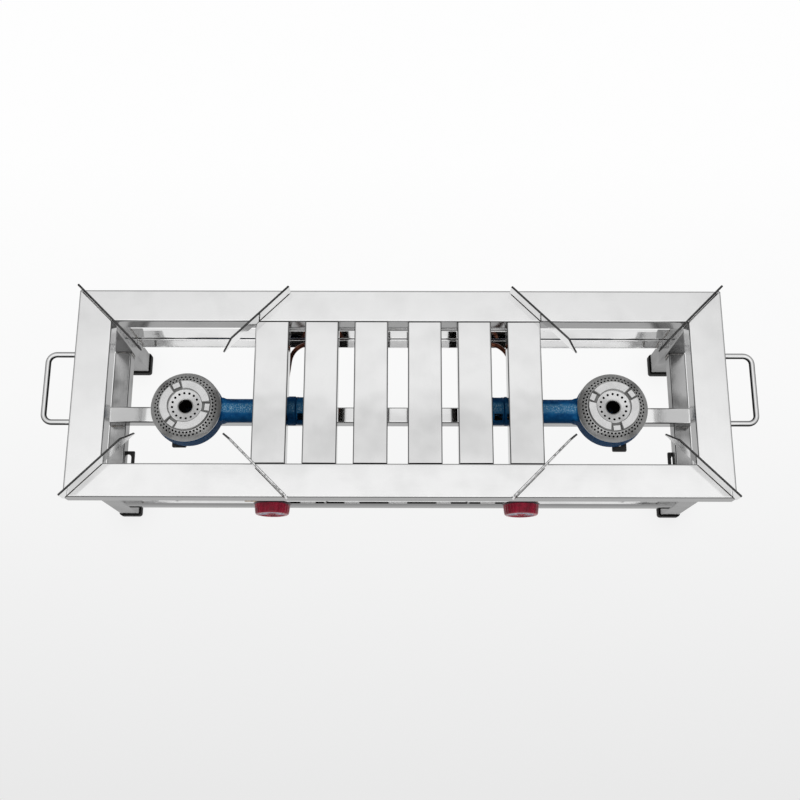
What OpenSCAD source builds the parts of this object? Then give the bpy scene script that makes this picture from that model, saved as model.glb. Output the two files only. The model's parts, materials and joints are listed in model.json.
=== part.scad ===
// Two-burner stove on its own low stand: a box-tube frame with six slats between two open
// burner wells, pot supports on edge, two cast burners on a cross bar, and taps in front.
// X runs along the stove, Y from the taps to the back, Z up from the floor.

/* [Top frame] */
// Length of the top frame along X
frame_l = 914; // [860:1:980]
// Depth of the top frame along Y
frame_d = 299; // [280:1:340]
// Height of the frame's top face above the floor
frame_h = 258; // [250:1:320]
// Width of the two end rails
end_rail_w = 49; // [40:0.5:55]
// Width of the front and back rails
long_rail_w = 47; // [40:0.5:55]
// Height of all four top rails
rail_h = 30; // [25:0.5:36]
// Wall of every box tube
tube_wall = 1.5; // [1:0.1:2]
// Outer corner radius of every box tube
tube_r = 2.4; // [2:0.1:3]

/* [Slats] */
// Width of one slat
slat_w = 47.5; // [40:0.5:52]
// Drop of the slats below the frame's top face
slat_drop = 1; // [0.5:0.1:1.5]
// Thickness of the flat bars under the slats' ends
ledge_t = 5; // [3:0.5:6]
// Reach of the flat bars under the slats' ends
ledge_reach = 2; // [1:0.5:6]
// Distance between neighbouring slats, centre to centre
slat_pitch = 70; // [66:0.5:72]
// Distance between the two middle slats, centre to centre
slat_mid_pitch = 75.5; // [70:0.5:80]
// Shift of the whole row of slats along X
slat_shift = -3; // [-5:0.5:5]

/* [Pot supports] */
// Thickness of a pot support
support_t = 3; // [2.5:0.5:4]
// Height of a pot support
support_h = 22.5; // [18:0.5:28]
// Distance of a support's tip from the middle of its burner well, along X and along Y
support_tip = 58.5; // [50:0.5:65]
// Length of the sloping end at the tip
support_taper = 19; // [10:0.5:30]
// Gap between a support's outer end and the frame's end, along X
support_inset = 3.5; // [2:0.5:8]
// How far the front supports are slid out along their diagonals
front_support_out = 3; // [0:0.5:4]
// How far the inner back supports are slid in along their diagonals
inner_support_in = 3; // [0:0.5:4]

/* [Legs and feet] */
// Width of a square leg
leg_w = 30; // [28:0.5:34]
// Inset of the legs from the frame's ends and sides
leg_inset = 17.5; // [14:0.5:20]
// Height of a rubber foot
foot_h = 15; // [12:0.5:25]
// Wall of a rubber foot
foot_wall = 2; // [1.5:0.1:3]
// Floor of a rubber foot
foot_floor = 3; // [2:0.5:5]

/* [Lower frame] */
// Drop from the frame's top face to the top of the lower side rails
side_rail_drop = 142; // [135:0.5:150]
// Width and height of the lower side rails
side_rail_w = 25; // [20:0.5:28]
// Drop from the frame's top face to the underside of the front angle
front_angle_drop = 185; // [183:0.5:195]
// Drop from the frame's top face to the underside of the back angle
back_angle_drop = 158; // [150:0.5:170]
// Height of the front angle's upright leg
angle_h = 40; // [30:0.5:41]
// Height of the back angle's upright leg
back_angle_h = 50; // [44:0.5:54]
// Width of the angles' flat leg
angle_w = 16.5; // [15:0.5:22]
// Thickness of the angles
angle_t = 2.5; // [2:0.1:3]

/* [Burner bar] */
// Width and height of the cross bar under the burners
bar_w = 24; // [20:0.5:26]
// Shift of the bar and burners towards the front, from the frame's middle
bar_shift = -3; // [-6:0.5:6]
// Width of the strap under a burner
strap_w = 21; // [18:0.5:26]
// Length of the strap under a burner
strap_l = 112; // [105:1:130]
// Thickness of the strap
strap_t = 4; // [3:0.5:5]
// Distance from the burner's axis out to the strap's middle
strap_offset = 15; // [12:0.5:20]
// Diameter of the open hole near each end of a strap
strap_hole_d = 8; // [5:0.5:9]
// Distance from a strap's end to the middle of its open hole
strap_hole_edge = 12; // [8:0.5:14]
// How much further back the left strap sits
left_strap_back = 5; // [0:0.5:6]
// How much further out the left burner sits
left_burner_out = 2; // [0:0.5:3]
// Diameter of the bolt that holds a burner
bolt_d = 6; // [5:0.5:8]

/* [Burners] */
// Distance from the middle of a burner well out to the burner's axis
burner_offset = 5.5; // [0:0.5:8]
// Outer diameter of the burner bowl
bowl_d = 103; // [98:0.5:106]
// Height of the burner bowl
bowl_h = 36.5; // [36.5:0.5:42]
// Wall of the casting
cast_wall = 4.5; // [4:0.1:5.5]
// Outer diameter of the mixing tube
mix_d = 35; // [30:0.5:36]
// Diameter of the collar near the mixing tube's end
collar_d = 43; // [41:0.5:43.5]
// Length of the collar near the mixing tube's end
collar_l = 14; // [10:0.5:18]
// Outer diameter of the air shutter
shutter_d = 41.6; // [41:0.1:42]
// Wall of the air shutter
shutter_wall = 1.8; // [1.5:0.1:2]
// Length of the air shutter
shutter_l = 23; // [22:0.5:24]
// Distance of the mixing tube's end face from the stove's middle
head_end = 128; // [127:0.5:131]
// Width and height of an air window
window_l = 12; // [8:0.5:12]
// Turn of the first air window from upright towards the front
window_turn = 41; // [30:1:50]
// Radial running clearance of the air shutter
shutter_play = 0.08; // [0.05:0.01:0.1]
// Height of the burner cap above the bowl
cap_h = 15; // [14:0.5:18]
// Diameter of the hole in the middle of the cap
cap_hole_d = 20; // [16:0.5:24]
// Diameter of a flame port
port_d = 2.3; // [2:0.1:2.6]
// Number of flame ports in each of the two outer rows
ports_per_row = 48; // [40:1:50]
// Number of ports in the inner ring
inner_ports = 16; // [12:1:18]
// Play between the cap's collar and the bowl
cap_play = 0.4; // [0.3:0.05:0.8]

/* [Gas line] */
// Diameter of the gas manifold
manifold_d = 21.3; // [18:0.1:22]
// Bore of the gas manifold
manifold_bore_d = 16; // [12:0.1:16.5]
// Length of the gas manifold
manifold_l = 430; // [410:1:480]
// Distance of the manifold's axis from the frame's front face
manifold_back = 43.5; // [42:0.5:47]
// Distance of each tap from the middle of the manifold
valve_x = 181; // [150:1:190]
// Shift of the manifold and both taps along X
valve_shift = -4.5; // [-10:0.5:5]
// Drop from the frame's top face to the taps' axis
valve_drop = 115; // [108:0.5:116]
// Diameter of the copper pipes
pipe_d = 6.4; // [5:0.1:8]
// Height of the copper pipes' long run above the mixing tube's axis
pipe_rise = 28; // [26:0.5:32]
// Bend radius of the copper pipes at the back
pipe_bend_r = 30; // [22:0.5:30]
// Distance of the copper pipe's outer back corner from the stove's middle
pipe_outer_x = 158; // [158:0.5:162]
// Distance of the copper pipe's return run from the stove's middle
pipe_inner_x = 94; // [90:0.5:94]
// Distance of the copper pipe's back run from the frame's middle
pipe_back_y = 92; // [80:0.5:95]
// Outer diameter of the hose tail
tail_d = 9.5; // [8:0.1:10]
// Length of the hose tail
tail_l = 28; // [22:0.5:34]

/* [Knobs] */
// Widest diameter of a knob
knob_d = 56; // [44:0.5:56]
// Diameter of a knob's front face
knob_face_d = 49; // [38:0.5:49]
// Thickness of a knob
knob_t = 17; // [15:0.5:22]
// Gap from the back of a knob to the front angle's outer face
knob_gap = 5; // [3:0.5:8]
// Number of flutes around a knob
flutes = 24; // [16:1:28]
// Diameter of the tap spindle
spindle_d = 6; // [5:0.5:8]
// Radial running clearance of the spindle
spindle_play = 0.05; // [0.03:0.01:0.1]

/* [Carry handles] */
// Diameter of the handle rod
handle_rod_d = 8; // [6:0.5:10]
// Reach of a handle from the frame's end to the rod's middle
handle_reach = 40; // [35:0.5:60]
// Distance between a handle's two ends, middle to middle
handle_span = 98.5; // [90:0.5:120]
// Bend radius of a handle, to the rod's middle
handle_bend_r = 12; // [10:0.5:18]
// Shift of the handles towards the back
handle_shift = 7.5; // [0:0.5:12]

/* [Slotted brackets] */
// Width of a slotted bracket
bracket_w = 20; // [18:0.5:24]
// Length of a slotted bracket
bracket_l = 50; // [40:0.5:52]
// Thickness of a slotted bracket
bracket_t = 3; // [2:0.5:4]
// Width of the slot
bracket_slot_w = 10; // [6:0.5:12]
// Reach of a slotted bracket past the side rail's inner face
bracket_reach = 8; // [6:0.5:12]
// Shift of both slotted brackets along X
bracket_shift = 2; // [0:0.5:3]

/* [Hidden] */
$fn = 64;

// Colours of the finishes
STEEL = [0.80, 0.81, 0.82];
BLUE = [0.09, 0.27, 0.47];
CAST = [0.66, 0.66, 0.65];
BLACK = [0.08, 0.08, 0.08];
BRASS = [0.72, 0.58, 0.30];
COPPER = [0.58, 0.36, 0.26];
RED = [0.58, 0.08, 0.14];

// Small overlap that lets one cut run clean through a face
eps = 0.5;

// Half sizes of the frame and the planes of its legs
half_l = frame_l / 2;
half_d = frame_d / 2;
leg_out_x = half_l - leg_inset;
leg_out_y = half_d - leg_inset;
leg_in_x = leg_out_x - leg_w;
leg_in_y = leg_out_y - leg_w;
rail_under = frame_h - rail_h;

// The slats stand on the flat bars under their ends
slat_h = rail_h - slat_drop;

// Burner wells and pot supports
support_end = half_d;
well_x = half_l - support_end - support_inset;
burner_x = well_x + burner_offset;
function burner_at(s) = burner_x + (s < 0 ? left_burner_out : 0);
function strap_x(s) = s * (burner_at(s) + strap_offset);

// Levels of the lower frame, the bar and the burners
side_rail_top = frame_h - side_rail_drop;
side_rail_under = side_rail_top - side_rail_w;
bar_top = side_rail_top + bar_w;
bar_end = 2;
bar_len = 2 * (leg_out_x - bar_end);
strap_top = bar_top + strap_t;
mix_z = bar_top + collar_d / 2 + 0.5;
mix_bore_d = mix_d - 2 * cast_wall;
bowl_top = strap_top + bowl_h;
bowl_r = bowl_d / 2;
mouth_r = bowl_r - cast_wall - 1;

// Taps: the knob's back face is knob_gap in front of the front angle
valve_z = frame_h - valve_drop;
angle_face_y = -leg_out_y;
knob_back_y = angle_face_y - knob_gap;
knob_front_y = knob_back_y - knob_t;
manifold_y = -half_d + manifold_back;
manifold_front_y = manifold_y - manifold_d / 2;
valve_gap = 1.3;
valve_body_front = knob_back_y + 5.5;
valve_body_back = manifold_front_y - valve_gap;
valve_body_r = 10;
bonnet_r = 7;
stub_r = 6;

// The part's origin is the middle of its own box, so the frame's middle lies at frame_y
back_reach = support_end + support_t / 2 * sin(45);
frame_y = (-knob_front_y - back_reach) / 2;

// Copper pipes and injectors
pipe_z = mix_z + pipe_rise;
pipe_play = 0.05;
riser_bend_r = 14;
hex_l = 8;
nut_l = 9;
injector_r = 5;
nut_r = 8;
outlet_y = (valve_body_front + valve_body_back) / 2 - 1;
outlet_top = valve_z + valve_body_r + 4;

// A rectangle with round corners, centred
module round_rect(w, h, r) {
    square([w - 2 * r, h], center = true);
    square([w, h - 2 * r], center = true);
    for (sx = [-1, 1], sy = [-1, 1])
        translate([sx * (w / 2 - r), sy * (h / 2 - r)]) circle(r, $fn = 32);
}

// Section of a box tube
module tube_section(w, h) {
    difference() {
        round_rect(w, h, tube_r);
        round_rect(w - 2 * tube_wall, h - 2 * tube_wall, tube_r - tube_wall);
    }
}

// A box tube along X, centred, w wide in Y and h high
module tube_x(l, w, h) {
    rotate([90, 0, 90]) linear_extrude(l, center = true) tube_section(w, h);
}

// A box tube along Y, centred, w wide in X and h high
module tube_y(l, w, h) {
    rotate([90, 0, 0]) linear_extrude(l, center = true) tube_section(w, h);
}

// A box tube along Z from the level z0 to z1
module tube_z(w, z0, z1) {
    translate([0, 0, z0]) linear_extrude(z1 - z0) tube_section(w, w);
}

// Puts a piece that is drawn about the frame's middle where the frame lies
module at_frame() {
    translate([0, frame_y, 0]) children();
}

// Left pieces are drawn as they are, right ones are their mirror image
module side(s) {
    if (s < 0) children();
    else mirror([1, 0, 0]) children();
}

// Unit vector and length helpers for the bent rods and pipes
function unit(v) = v / norm(v);
function bend_angle(a, b, c) = acos(unit(b - a) * unit(c - b));
function cut_back(a, b, c, r) = r * tan(bend_angle(a, b, c) / 2);

// A round bar from point a to point b
module bar_between(a, b, d) {
    v = b - a;
    translate(a)
        rotate([0, acos(v[2] / norm(v)), atan2(v[1], v[0])])
            cylinder(d = d, h = norm(v));
}

// The bend at corner b on the way from a to c
module bend(a, b, c, r, d) {
    ang = bend_angle(a, b, c);
    start = b - unit(b - a) * r * tan(ang / 2);
    mid = b + unit(unit(c - b) - unit(b - a)) * r / cos(ang / 2);
    x = unit(start - mid);
    y = unit(b - a);
    z = cross(x, y);
    multmatrix([
        [x[0], y[0], z[0], mid[0]],
        [x[1], y[1], z[1], mid[1]],
        [x[2], y[2], z[2], mid[2]],
        [0, 0, 0, 1]
    ]) rotate_extrude(angle = ang, $fn = 96) translate([r, 0]) circle(d = d, $fn = 32);
}

// A rod through the points p, with the bend radius r[i] at the point p[i]
module bent_rod(p, r, d) {
    n = len(p);
    for (i = [1 : n - 2]) bend(p[i - 1], p[i], p[i + 1], r[i], d);
    for (i = [0 : n - 2]) {
        dir = unit(p[i + 1] - p[i]);
        back = i == 0 ? 0 : cut_back(p[i - 1], p[i], p[i + 1], r[i]);
        ahead = i == n - 2 ? 0 : cut_back(p[i], p[i + 1], p[i + 2], r[i + 1]);
        bar_between(p[i] + dir * back, p[i + 1] - dir * ahead, d);
    }
}

// Points of the arc that rounds corner b on the way from a to c, n + 1 of them
function arc_points(a, b, c, r, n) =
    let (
        ang = bend_angle(a, b, c),
        start = b - unit(b - a) * r * tan(ang / 2),
        mid = b + unit(unit(c - b) - unit(b - a)) * r / cos(ang / 2)
    )
    [for (k = [0 : n]) mid + (start - mid) * cos(ang * k / n) + unit(b - a) * r * sin(ang * k / n)];

// Points of a straight stretch from a to b without its two ends, about step apart
function line_points(a, b, step) =
    let (n = max(1, ceil(norm(b - a) / step)))
    n < 2 ? [] : [for (k = [1 : n - 1]) a + (b - a) * k / n];

// Every ring centre of a rod through the points p with the bend radii r
function route(p, r, step) =
    let (
        n = len(p),
        arcs = [for (i = [0 : n - 1]) i == 0 || i == n - 1
            ? [p[i]]
            : arc_points(p[i - 1], p[i], p[i + 1], r[i], 6)]
    )
    [for (i = [0 : n - 1]) each concat(
        i == 0 ? [] : line_points(arcs[i - 1][len(arcs[i - 1]) - 1], arcs[i][0], step),
        arcs[i]
    )];

// Direction of the route at each of its points, and a side vector carried along it
function heading(c) = [for (i = [0 : len(c) - 1])
    i == 0 ? unit(c[1] - c[0])
    : i == len(c) - 1 ? unit(c[i] - c[i - 1])
    : unit(unit(c[i + 1] - c[i]) + unit(c[i] - c[i - 1]))];
function carried(t, u0) =
    [for (i = 0, u = u0; i < len(t); i = i + 1, u = i < len(t) ? unit(u - (u * t[i]) * t[i]) : u) u];

// A rod as one skin: a ring of m points at each point of the route c
module swept_rod(c, d, u0) {
    m = 12;
    n = len(c);
    t = heading(c);
    u = carried(t, u0);
    rings = [for (i = [0 : n - 1]) for (j = [0 : m - 1])
        let (v = cross(t[i], u[i]), w = 360 * j / m)
        c[i] + d / 2 * (u[i] * cos(w) + v * sin(w))];
    sides = [for (i = [0 : n - 2]) for (j = [0 : m - 1])
        let (k = (j + 1) % m)
        each [
            [i * m + j, (i + 1) * m + j, (i + 1) * m + k],
            [i * m + j, (i + 1) * m + k, i * m + k]
        ]];
    first = [for (j = [0 : m - 1]) j];
    last = [for (j = [0 : m - 1]) n * m - 1 - j];
    polyhedron(points = rings, faces = concat(sides, [first], [last]), convexity = 10);
}

// Wedge that keeps the half of a rail on its own side of a mitre
module mitre_plan(along_x) {
    w = along_x ? long_rail_w : end_rail_w;
    l = along_x ? half_l : half_d;
    o = along_x ? end_rail_w : long_rail_w;
    polygon([[-l, 0], [l, 0], [l - o, w], [-l + o, w]]);
}

// A long rail, its outer face on Y = 0, running along X
module long_rail() {
    intersection() {
        translate([0, long_rail_w / 2, rail_under + rail_h / 2])
            tube_x(frame_l, long_rail_w, rail_h);
        translate([0, 0, rail_under - eps]) linear_extrude(rail_h + 2 * eps) mitre_plan(true);
    }
}

// An end rail, its outer face on Y = 0, running along X
module end_rail() {
    intersection() {
        translate([0, end_rail_w / 2, rail_under + rail_h / 2])
            tube_x(frame_d, end_rail_w, rail_h);
        translate([0, 0, rail_under - eps]) linear_extrude(rail_h + 2 * eps) mitre_plan(false);
    }
}

module top_rail_front() { color(STEEL) at_frame() translate([0, -half_d, 0]) long_rail(); }
module top_rail_back() {
    color(STEEL) at_frame() rotate([0, 0, 180]) translate([0, -half_d, 0]) long_rail();
}
module top_rail_left() {
    color(STEEL) at_frame() rotate([0, 0, -90]) translate([0, -half_l, 0]) end_rail();
}
module top_rail_right() {
    color(STEEL) at_frame() rotate([0, 0, 90]) translate([0, -half_l, 0]) end_rail();
}

// Slats count from the left, three on each side of the middle gap
function slat_x(i) = i <= 3
    ? slat_shift - slat_mid_pitch / 2 - (3 - i) * slat_pitch
    : slat_shift + slat_mid_pitch / 2 + (i - 4) * slat_pitch;

module slat(i) {
    color(STEEL) at_frame()
        translate([slat_x(i), 0, frame_h - slat_drop - slat_h / 2])
            tube_y(frame_d - 2 * long_rail_w, slat_w, slat_h);
}

// Two flat bars under the long rails' inner edges, along the row of slats
module slat_ledges() {
    ledge_w = 20;
    ledge_y = half_d - long_rail_w - ledge_reach + ledge_w / 2;
    x0 = slat_x(1) - slat_w / 2;
    x1 = slat_x(6) + slat_w / 2;
    color(STEEL) at_frame()
        for (sy = [-1, 1])
            translate([(x0 + x1) / 2, sy * ledge_y, rail_under - ledge_t / 2])
                cube([x1 - x0, ledge_w, ledge_t], center = true);
}

// A pot support stands on edge along its well's diagonal, tip towards the burner
module pot_support(s, outer, back) {
    slide = back < 0 ? front_support_out : outer ? 0 : -inner_support_in;
    r0 = support_tip * sqrt(2) + slide;
    r1 = support_end * sqrt(2) + slide;
    dir_x = outer ? s : -s;
    color(STEEL) at_frame()
        translate([s * well_x, 0, frame_h])
            rotate([0, 0, atan2(back, dir_x)])
                rotate([90, 0, 0]) linear_extrude(support_t, center = true)
                    polygon([[r0, 0], [r1, 0], [r1, support_h], [r0 + support_taper, support_h]]);
}

module leg(sx, sy) {
    color(STEEL) at_frame()
        translate([sx * (leg_out_x - leg_w / 2), sy * (leg_out_y - leg_w / 2), 0])
            tube_z(leg_w, foot_floor, rail_under);
}

// A foot is a square cup that the leg stands in
module foot(sx, sy) {
    outer = leg_w + 2 * foot_wall;
    color(BLACK) at_frame()
        translate([sx * (leg_out_x - leg_w / 2), sy * (leg_out_y - leg_w / 2), 0])
            difference() {
                linear_extrude(foot_h) round_rect(outer, outer, tube_r + foot_wall);
                translate([0, 0, foot_floor]) linear_extrude(foot_h) round_rect(leg_w, leg_w, tube_r);
            }
}

// An angle along X between the legs, its heel on Y = 0 and its flat leg towards +Y
module angle_bar(h) {
    fillet = 3;
    rotate([90, 0, 90]) linear_extrude(2 * leg_in_x, center = true) {
        square([angle_t, h]);
        square([angle_w, angle_t]);
        difference() {
            translate([angle_t, angle_t]) square(fillet);
            translate([angle_t + fillet, angle_t + fillet]) circle(fillet, $fn = 48);
        }
    }
}

module lower_rail_front() {
    color(STEEL) at_frame() translate([0, angle_face_y, frame_h - front_angle_drop]) angle_bar(angle_h);
}
module lower_rail_back() {
    color(STEEL) at_frame() rotate([0, 0, 180])
        translate([0, -leg_out_y, frame_h - back_angle_drop]) angle_bar(back_angle_h);
}

module lower_side_rail(s) {
    color(STEEL) at_frame()
        translate([s * (leg_out_x - side_rail_w / 2), 0, side_rail_top - side_rail_w / 2])
            tube_y(2 * leg_in_y, side_rail_w, side_rail_w);
}

// The bar lies across both side rails and is drilled for one bolt under each burner
module burner_bar() {
    color(STEEL) at_frame()
        difference() {
            translate([0, bar_shift, bar_top - bar_w / 2]) tube_x(bar_len, bar_w, bar_w);
            for (s = [-1, 1]) bolt_hole(s, bar_top - bar_w - eps, bar_top + eps);
        }
}

bolt_play = 0.3;
module bolt_hole(s, z0, z1) {
    translate([strap_x(s), bar_shift, z0])
        cylinder(d = bolt_d + 2 * bolt_play, h = z1 - z0);
}

module burner_strap(s) {
    hole_y = strap_l / 2 - strap_hole_edge;
    strap_y = bar_shift + (s < 0 ? left_strap_back : 0);
    color(BLACK) at_frame()
        difference() {
            translate([strap_x(s), strap_y, bar_top + strap_t / 2])
                cube([strap_w, strap_l, strap_t], center = true);
            bolt_hole(s, bar_top - eps, strap_top + eps);
            for (e = [-1, 1])
                translate([strap_x(s), strap_y + e * hole_y, bar_top - eps])
                    cylinder(d = strap_hole_d, h = strap_t + 2 * eps);
        }
}

// One hexagon bolt for each burner, from under the bar up into the bowl's boss
bolt_head_h = 4;
bolt_reach = 7;
module burner_bolts() {
    color(STEEL) at_frame()
        for (s = [-1, 1])
            translate([strap_x(s), bar_shift, bar_top - bar_w]) {
                translate([0, 0, -bolt_head_h]) cylinder(d = bolt_d * 1.8, h = bolt_head_h, $fn = 6);
                cylinder(d = bolt_d, h = bar_w + strap_t + bolt_reach);
            }
}

// Outline of the bowl, from its flat base up its rounded side to the rim
base_r = bowl_r - 15;
shoulder_h = 17;
function bowl_curve(r0, r1, z0, h, n) = [for (k = [0 : n]) let (a = 90 * k / n)
    [r0 + (r1 - r0) * sin(a), z0 + h * (1 - cos(a))]];

function bowl_inside(r0, r1, z0, h, n) = [for (k = [0 : n]) let (a = 90 * (n - k) / n)
    [r1 + (r0 - r1) * sin(a), z0 + h * (1 - cos(a))]];

module bowl_shell() {
    floor_z = strap_top + cast_wall;
    inner_base = base_r - 1;
    rotate_extrude($fn = 96)
        polygon(concat(
            [[0, strap_top]],
            bowl_curve(base_r, bowl_r, strap_top, shoulder_h, 6),
            [[bowl_r, bowl_top], [mouth_r, bowl_top]],
            bowl_inside(mouth_r, inner_base, floor_z, shoulder_h - 3, 6),
            [[0, floor_z]]
        ));
}

// The casting: bowl, mixing tube, collar and the thin end that the air shutter turns on
head_wall = 5;
spigot_r = shutter_d / 2 - shutter_wall - shutter_play;
spigot_l = shutter_l + 1;
collar_x = head_end + spigot_l;
window_x = head_end + head_wall + 4.5;
boss_r = 8;
post_r = 4;

// Three windows through the wall round the mixing tube's axis
module air_windows() {
    for (k = [0 : 2]) rotate([window_turn + 120 * k, 0, 0])
        translate([-window_x - window_l, -window_l / 2, 0]) cube([window_l, window_l, collar_d]);
}

// A round bar of diameter d on the mixing tube's axis, between two distances from the middle
module mix_bar(d, x0, x1) {
    translate([-x1, bar_shift, mix_z]) rotate([0, 90, 0]) cylinder(d = d, h = x1 - x0);
}

module burner_body(s) {
    bowl_at = burner_at(s);
    color(BLUE) at_frame() side(s)
        difference() {
            union() {
                translate([-bowl_at, bar_shift, 0]) bowl_shell();
                mix_bar(mix_d, collar_x, bowl_at - mouth_r - 0.5);
                mix_bar(collar_d, collar_x, collar_x + collar_l);
                mix_bar(2 * spigot_r, head_end, collar_x + 1);
                translate([-bowl_at - strap_offset, bar_shift, strap_top])
                    cylinder(r = boss_r, h = bolt_reach + 5);
                translate([-bowl_at, bar_shift, strap_top]) cylinder(r = post_r, h = bowl_h + 4);
            }
            mix_bar(mix_bore_d, head_end + head_wall, bowl_at - mouth_r + 6);
            mix_bar(2 * spigot_r - 8, head_end + head_wall, collar_x);
            mix_bar(2 * (injector_r + pipe_play), head_end - eps, head_end + head_wall + eps);
            translate([0, bar_shift, mix_z]) air_windows();
            translate([-bowl_at - strap_offset, bar_shift, strap_top - eps])
                cylinder(d = bolt_d + 2 * pipe_play, h = bolt_reach + eps + 0.5);
        }
}

// The air shutter turns on the mixing tube's end and closes its windows
module air_shutter(s) {
    start = head_end + 0.6;
    color(BLUE) at_frame() side(s)
        difference() {
            mix_bar(shutter_d, start, start + shutter_l);
            mix_bar(shutter_d - 2 * shutter_wall, start - eps, start + shutter_l + eps);
            translate([0, bar_shift, mix_z]) air_windows();
        }
}

// The cap: a port band that slopes outwards, a raised ring in three arcs and a dished middle
band_r = 0.74 * bowl_r;
ring_in_r = 0.47 * bowl_r;
dish_edge_r = ring_in_r - 1.2;
rim_h = 3;
step_h = 4.5;
cap_wall = 3;
collar_h = 6;
arc_gap = 24;
pad_h = 2;
outer_row_r = 0.86 * bowl_r;
inner_row_r = 0.78 * bowl_r;
dish_row_r = 0.37 * bowl_r;

function band_z(r) = rim_h + (bowl_r - r) / (bowl_r - band_r) * (cap_h - step_h - rim_h);

module cap_shell() {
    hole_r = cap_hole_d / 2;
    dish_z = cap_h - step_h;
    collar_r = mouth_r - cap_play;
    rotate_extrude($fn = 96)
        polygon([
            [bowl_r, 0], [bowl_r, rim_h], [band_r, dish_z],
            [dish_edge_r, dish_z], [hole_r + 2, dish_z - 3], [hole_r, dish_z - 4],
            [hole_r, dish_z - 8], [hole_r + 3, dish_z - 8], [band_r - 4, dish_z - cap_wall - 1.5],
            [collar_r - cap_wall, rim_h - 2], [collar_r - cap_wall, -collar_h], [collar_r, -collar_h],
            [collar_r, 0]
        ]);
}

module ring_sector(r0, r1, z0, h, a0, a1) {
    translate([0, 0, z0]) rotate([0, 0, a0])
        rotate_extrude(angle = a1 - a0, $fn = 96) translate([r0, 0]) square([r1 - r0, h]);
}

module burner_cap(s) {
    turn = s < 0 ? -5 : 35;
    dish_z = cap_h - step_h;
    color(CAST) at_frame() translate([s * burner_at(s), bar_shift, bowl_top])
        rotate([0, 0, turn]) difference() {
            union() {
                cap_shell();
                for (k = [0 : 2]) {
                    ring_sector(ring_in_r, band_r - 1, dish_z - 0.5, step_h + 0.5,
                        120 * k + arc_gap / 2, 120 * (k + 1) - arc_gap / 2);
                    rotate([0, 0, 120 * k]) translate([band_r - 9.5, -5.5, dish_z - 0.5])
                        cube([8, 11, pad_h + 0.5]);
                }
            }
            for (k = [0 : ports_per_row - 1]) {
                rotate([0, 0, 360 * k / ports_per_row]) port(outer_row_r, 38);
                rotate([0, 0, 360 * (k + 0.5) / ports_per_row]) port(inner_row_r, 38);
            }
            for (k = [0 : inner_ports - 1])
                rotate([0, 0, 360 * (k + 0.5) / inner_ports]) translate([dish_row_r, 0, 0])
                    cylinder(d = port_d, h = cap_h, $fn = 16);
        }
}

// A flame port through the sloping band at radius r, leaning outwards by the angle lean
module port(r, lean) {
    translate([r, 0, band_z(r)]) rotate([0, lean, 0]) translate([0, 0, -9])
        cylinder(d = port_d, h = 12, $fn = 16);
}

// The injector screws into the head's end wall, its hexagon outside
module injector(s) {
    jet_l = 12;
    color(BRASS) at_frame() side(s)
        translate([-head_end - head_wall, bar_shift, mix_z]) rotate([0, 90, 0])
            difference() {
                union() {
                    cylinder(r = injector_r, h = head_wall);
                    translate([0, 0, -jet_l + 4]) cylinder(r1 = 2, r2 = 3.5, h = jet_l - 4);
                    translate([0, 0, head_wall]) cylinder(r = nut_r, h = hex_l, $fn = 6);
                }
                translate([0, 0, -4]) cylinder(d = pipe_d - 2.4, h = head_wall + hex_l + 8);
                translate([0, 0, -jet_l]) cylinder(d = 1.4, h = jet_l, $fn = 24);
                translate([0, 0, head_wall + hex_l - 5]) cylinder(d = pipe_d + 2 * pipe_play, h = 6);
            }
}

// Way of a copper pipe from the tap up, back over the mixing tube, round and into the injector
function tap_x(s) = valve_shift + s * valve_x;
function pipe_points(s) = [
    [tap_x(s), outlet_y, outlet_top - 3],
    [tap_x(s), outlet_y, pipe_z],
    [s * pipe_outer_x, pipe_back_y, pipe_z],
    [s * pipe_inner_x, pipe_back_y, pipe_z],
    [s * pipe_inner_x, bar_shift, mix_z],
    [s * (head_end - hex_l + 5), bar_shift, mix_z]
];

module gas_pipe(s) {
    radii = [0, riser_bend_r, pipe_bend_r, pipe_bend_r, riser_bend_r, 0];
    color(COPPER) at_frame() swept_rod(route(pipe_points(s), radii, 2.5 * pipe_d), pipe_d, [1, 0, 0]);
}

// Four union nuts: one on each tap's outlet and one on each injector
module pipe_nuts() {
    bore = pipe_d + 2 * pipe_play;
    color(BRASS) at_frame()
        for (s = [-1, 1]) {
            translate([tap_x(s), outlet_y, outlet_top]) difference() {
                cylinder(r = nut_r, h = nut_l, $fn = 6);
                translate([0, 0, -eps]) cylinder(d = bore, h = nut_l + 2 * eps);
            }
            side(s) translate([-head_end + hex_l, bar_shift, mix_z]) rotate([0, 90, 0]) difference() {
                cylinder(r = nut_r, h = nut_l, $fn = 6);
                translate([0, 0, -eps]) cylinder(d = bore, h = nut_l + 2 * eps);
            }
        }
}

// The manifold is a round pipe along X with a tapped hole in front for each tap
module manifold() {
    color(STEEL) at_frame() translate([valve_shift, manifold_y, valve_z])
        difference() {
            rotate([0, 90, 0]) cylinder(d = manifold_d, h = manifold_l, center = true);
            rotate([0, 90, 0]) cylinder(d = manifold_bore_d, h = manifold_l + 2 * eps, center = true);
            for (s = [-1, 1]) translate([s * valve_x, 0, 0]) rotate([90, 0, 0])
                cylinder(r = stub_r + pipe_play, h = manifold_d);
        }
}

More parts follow.
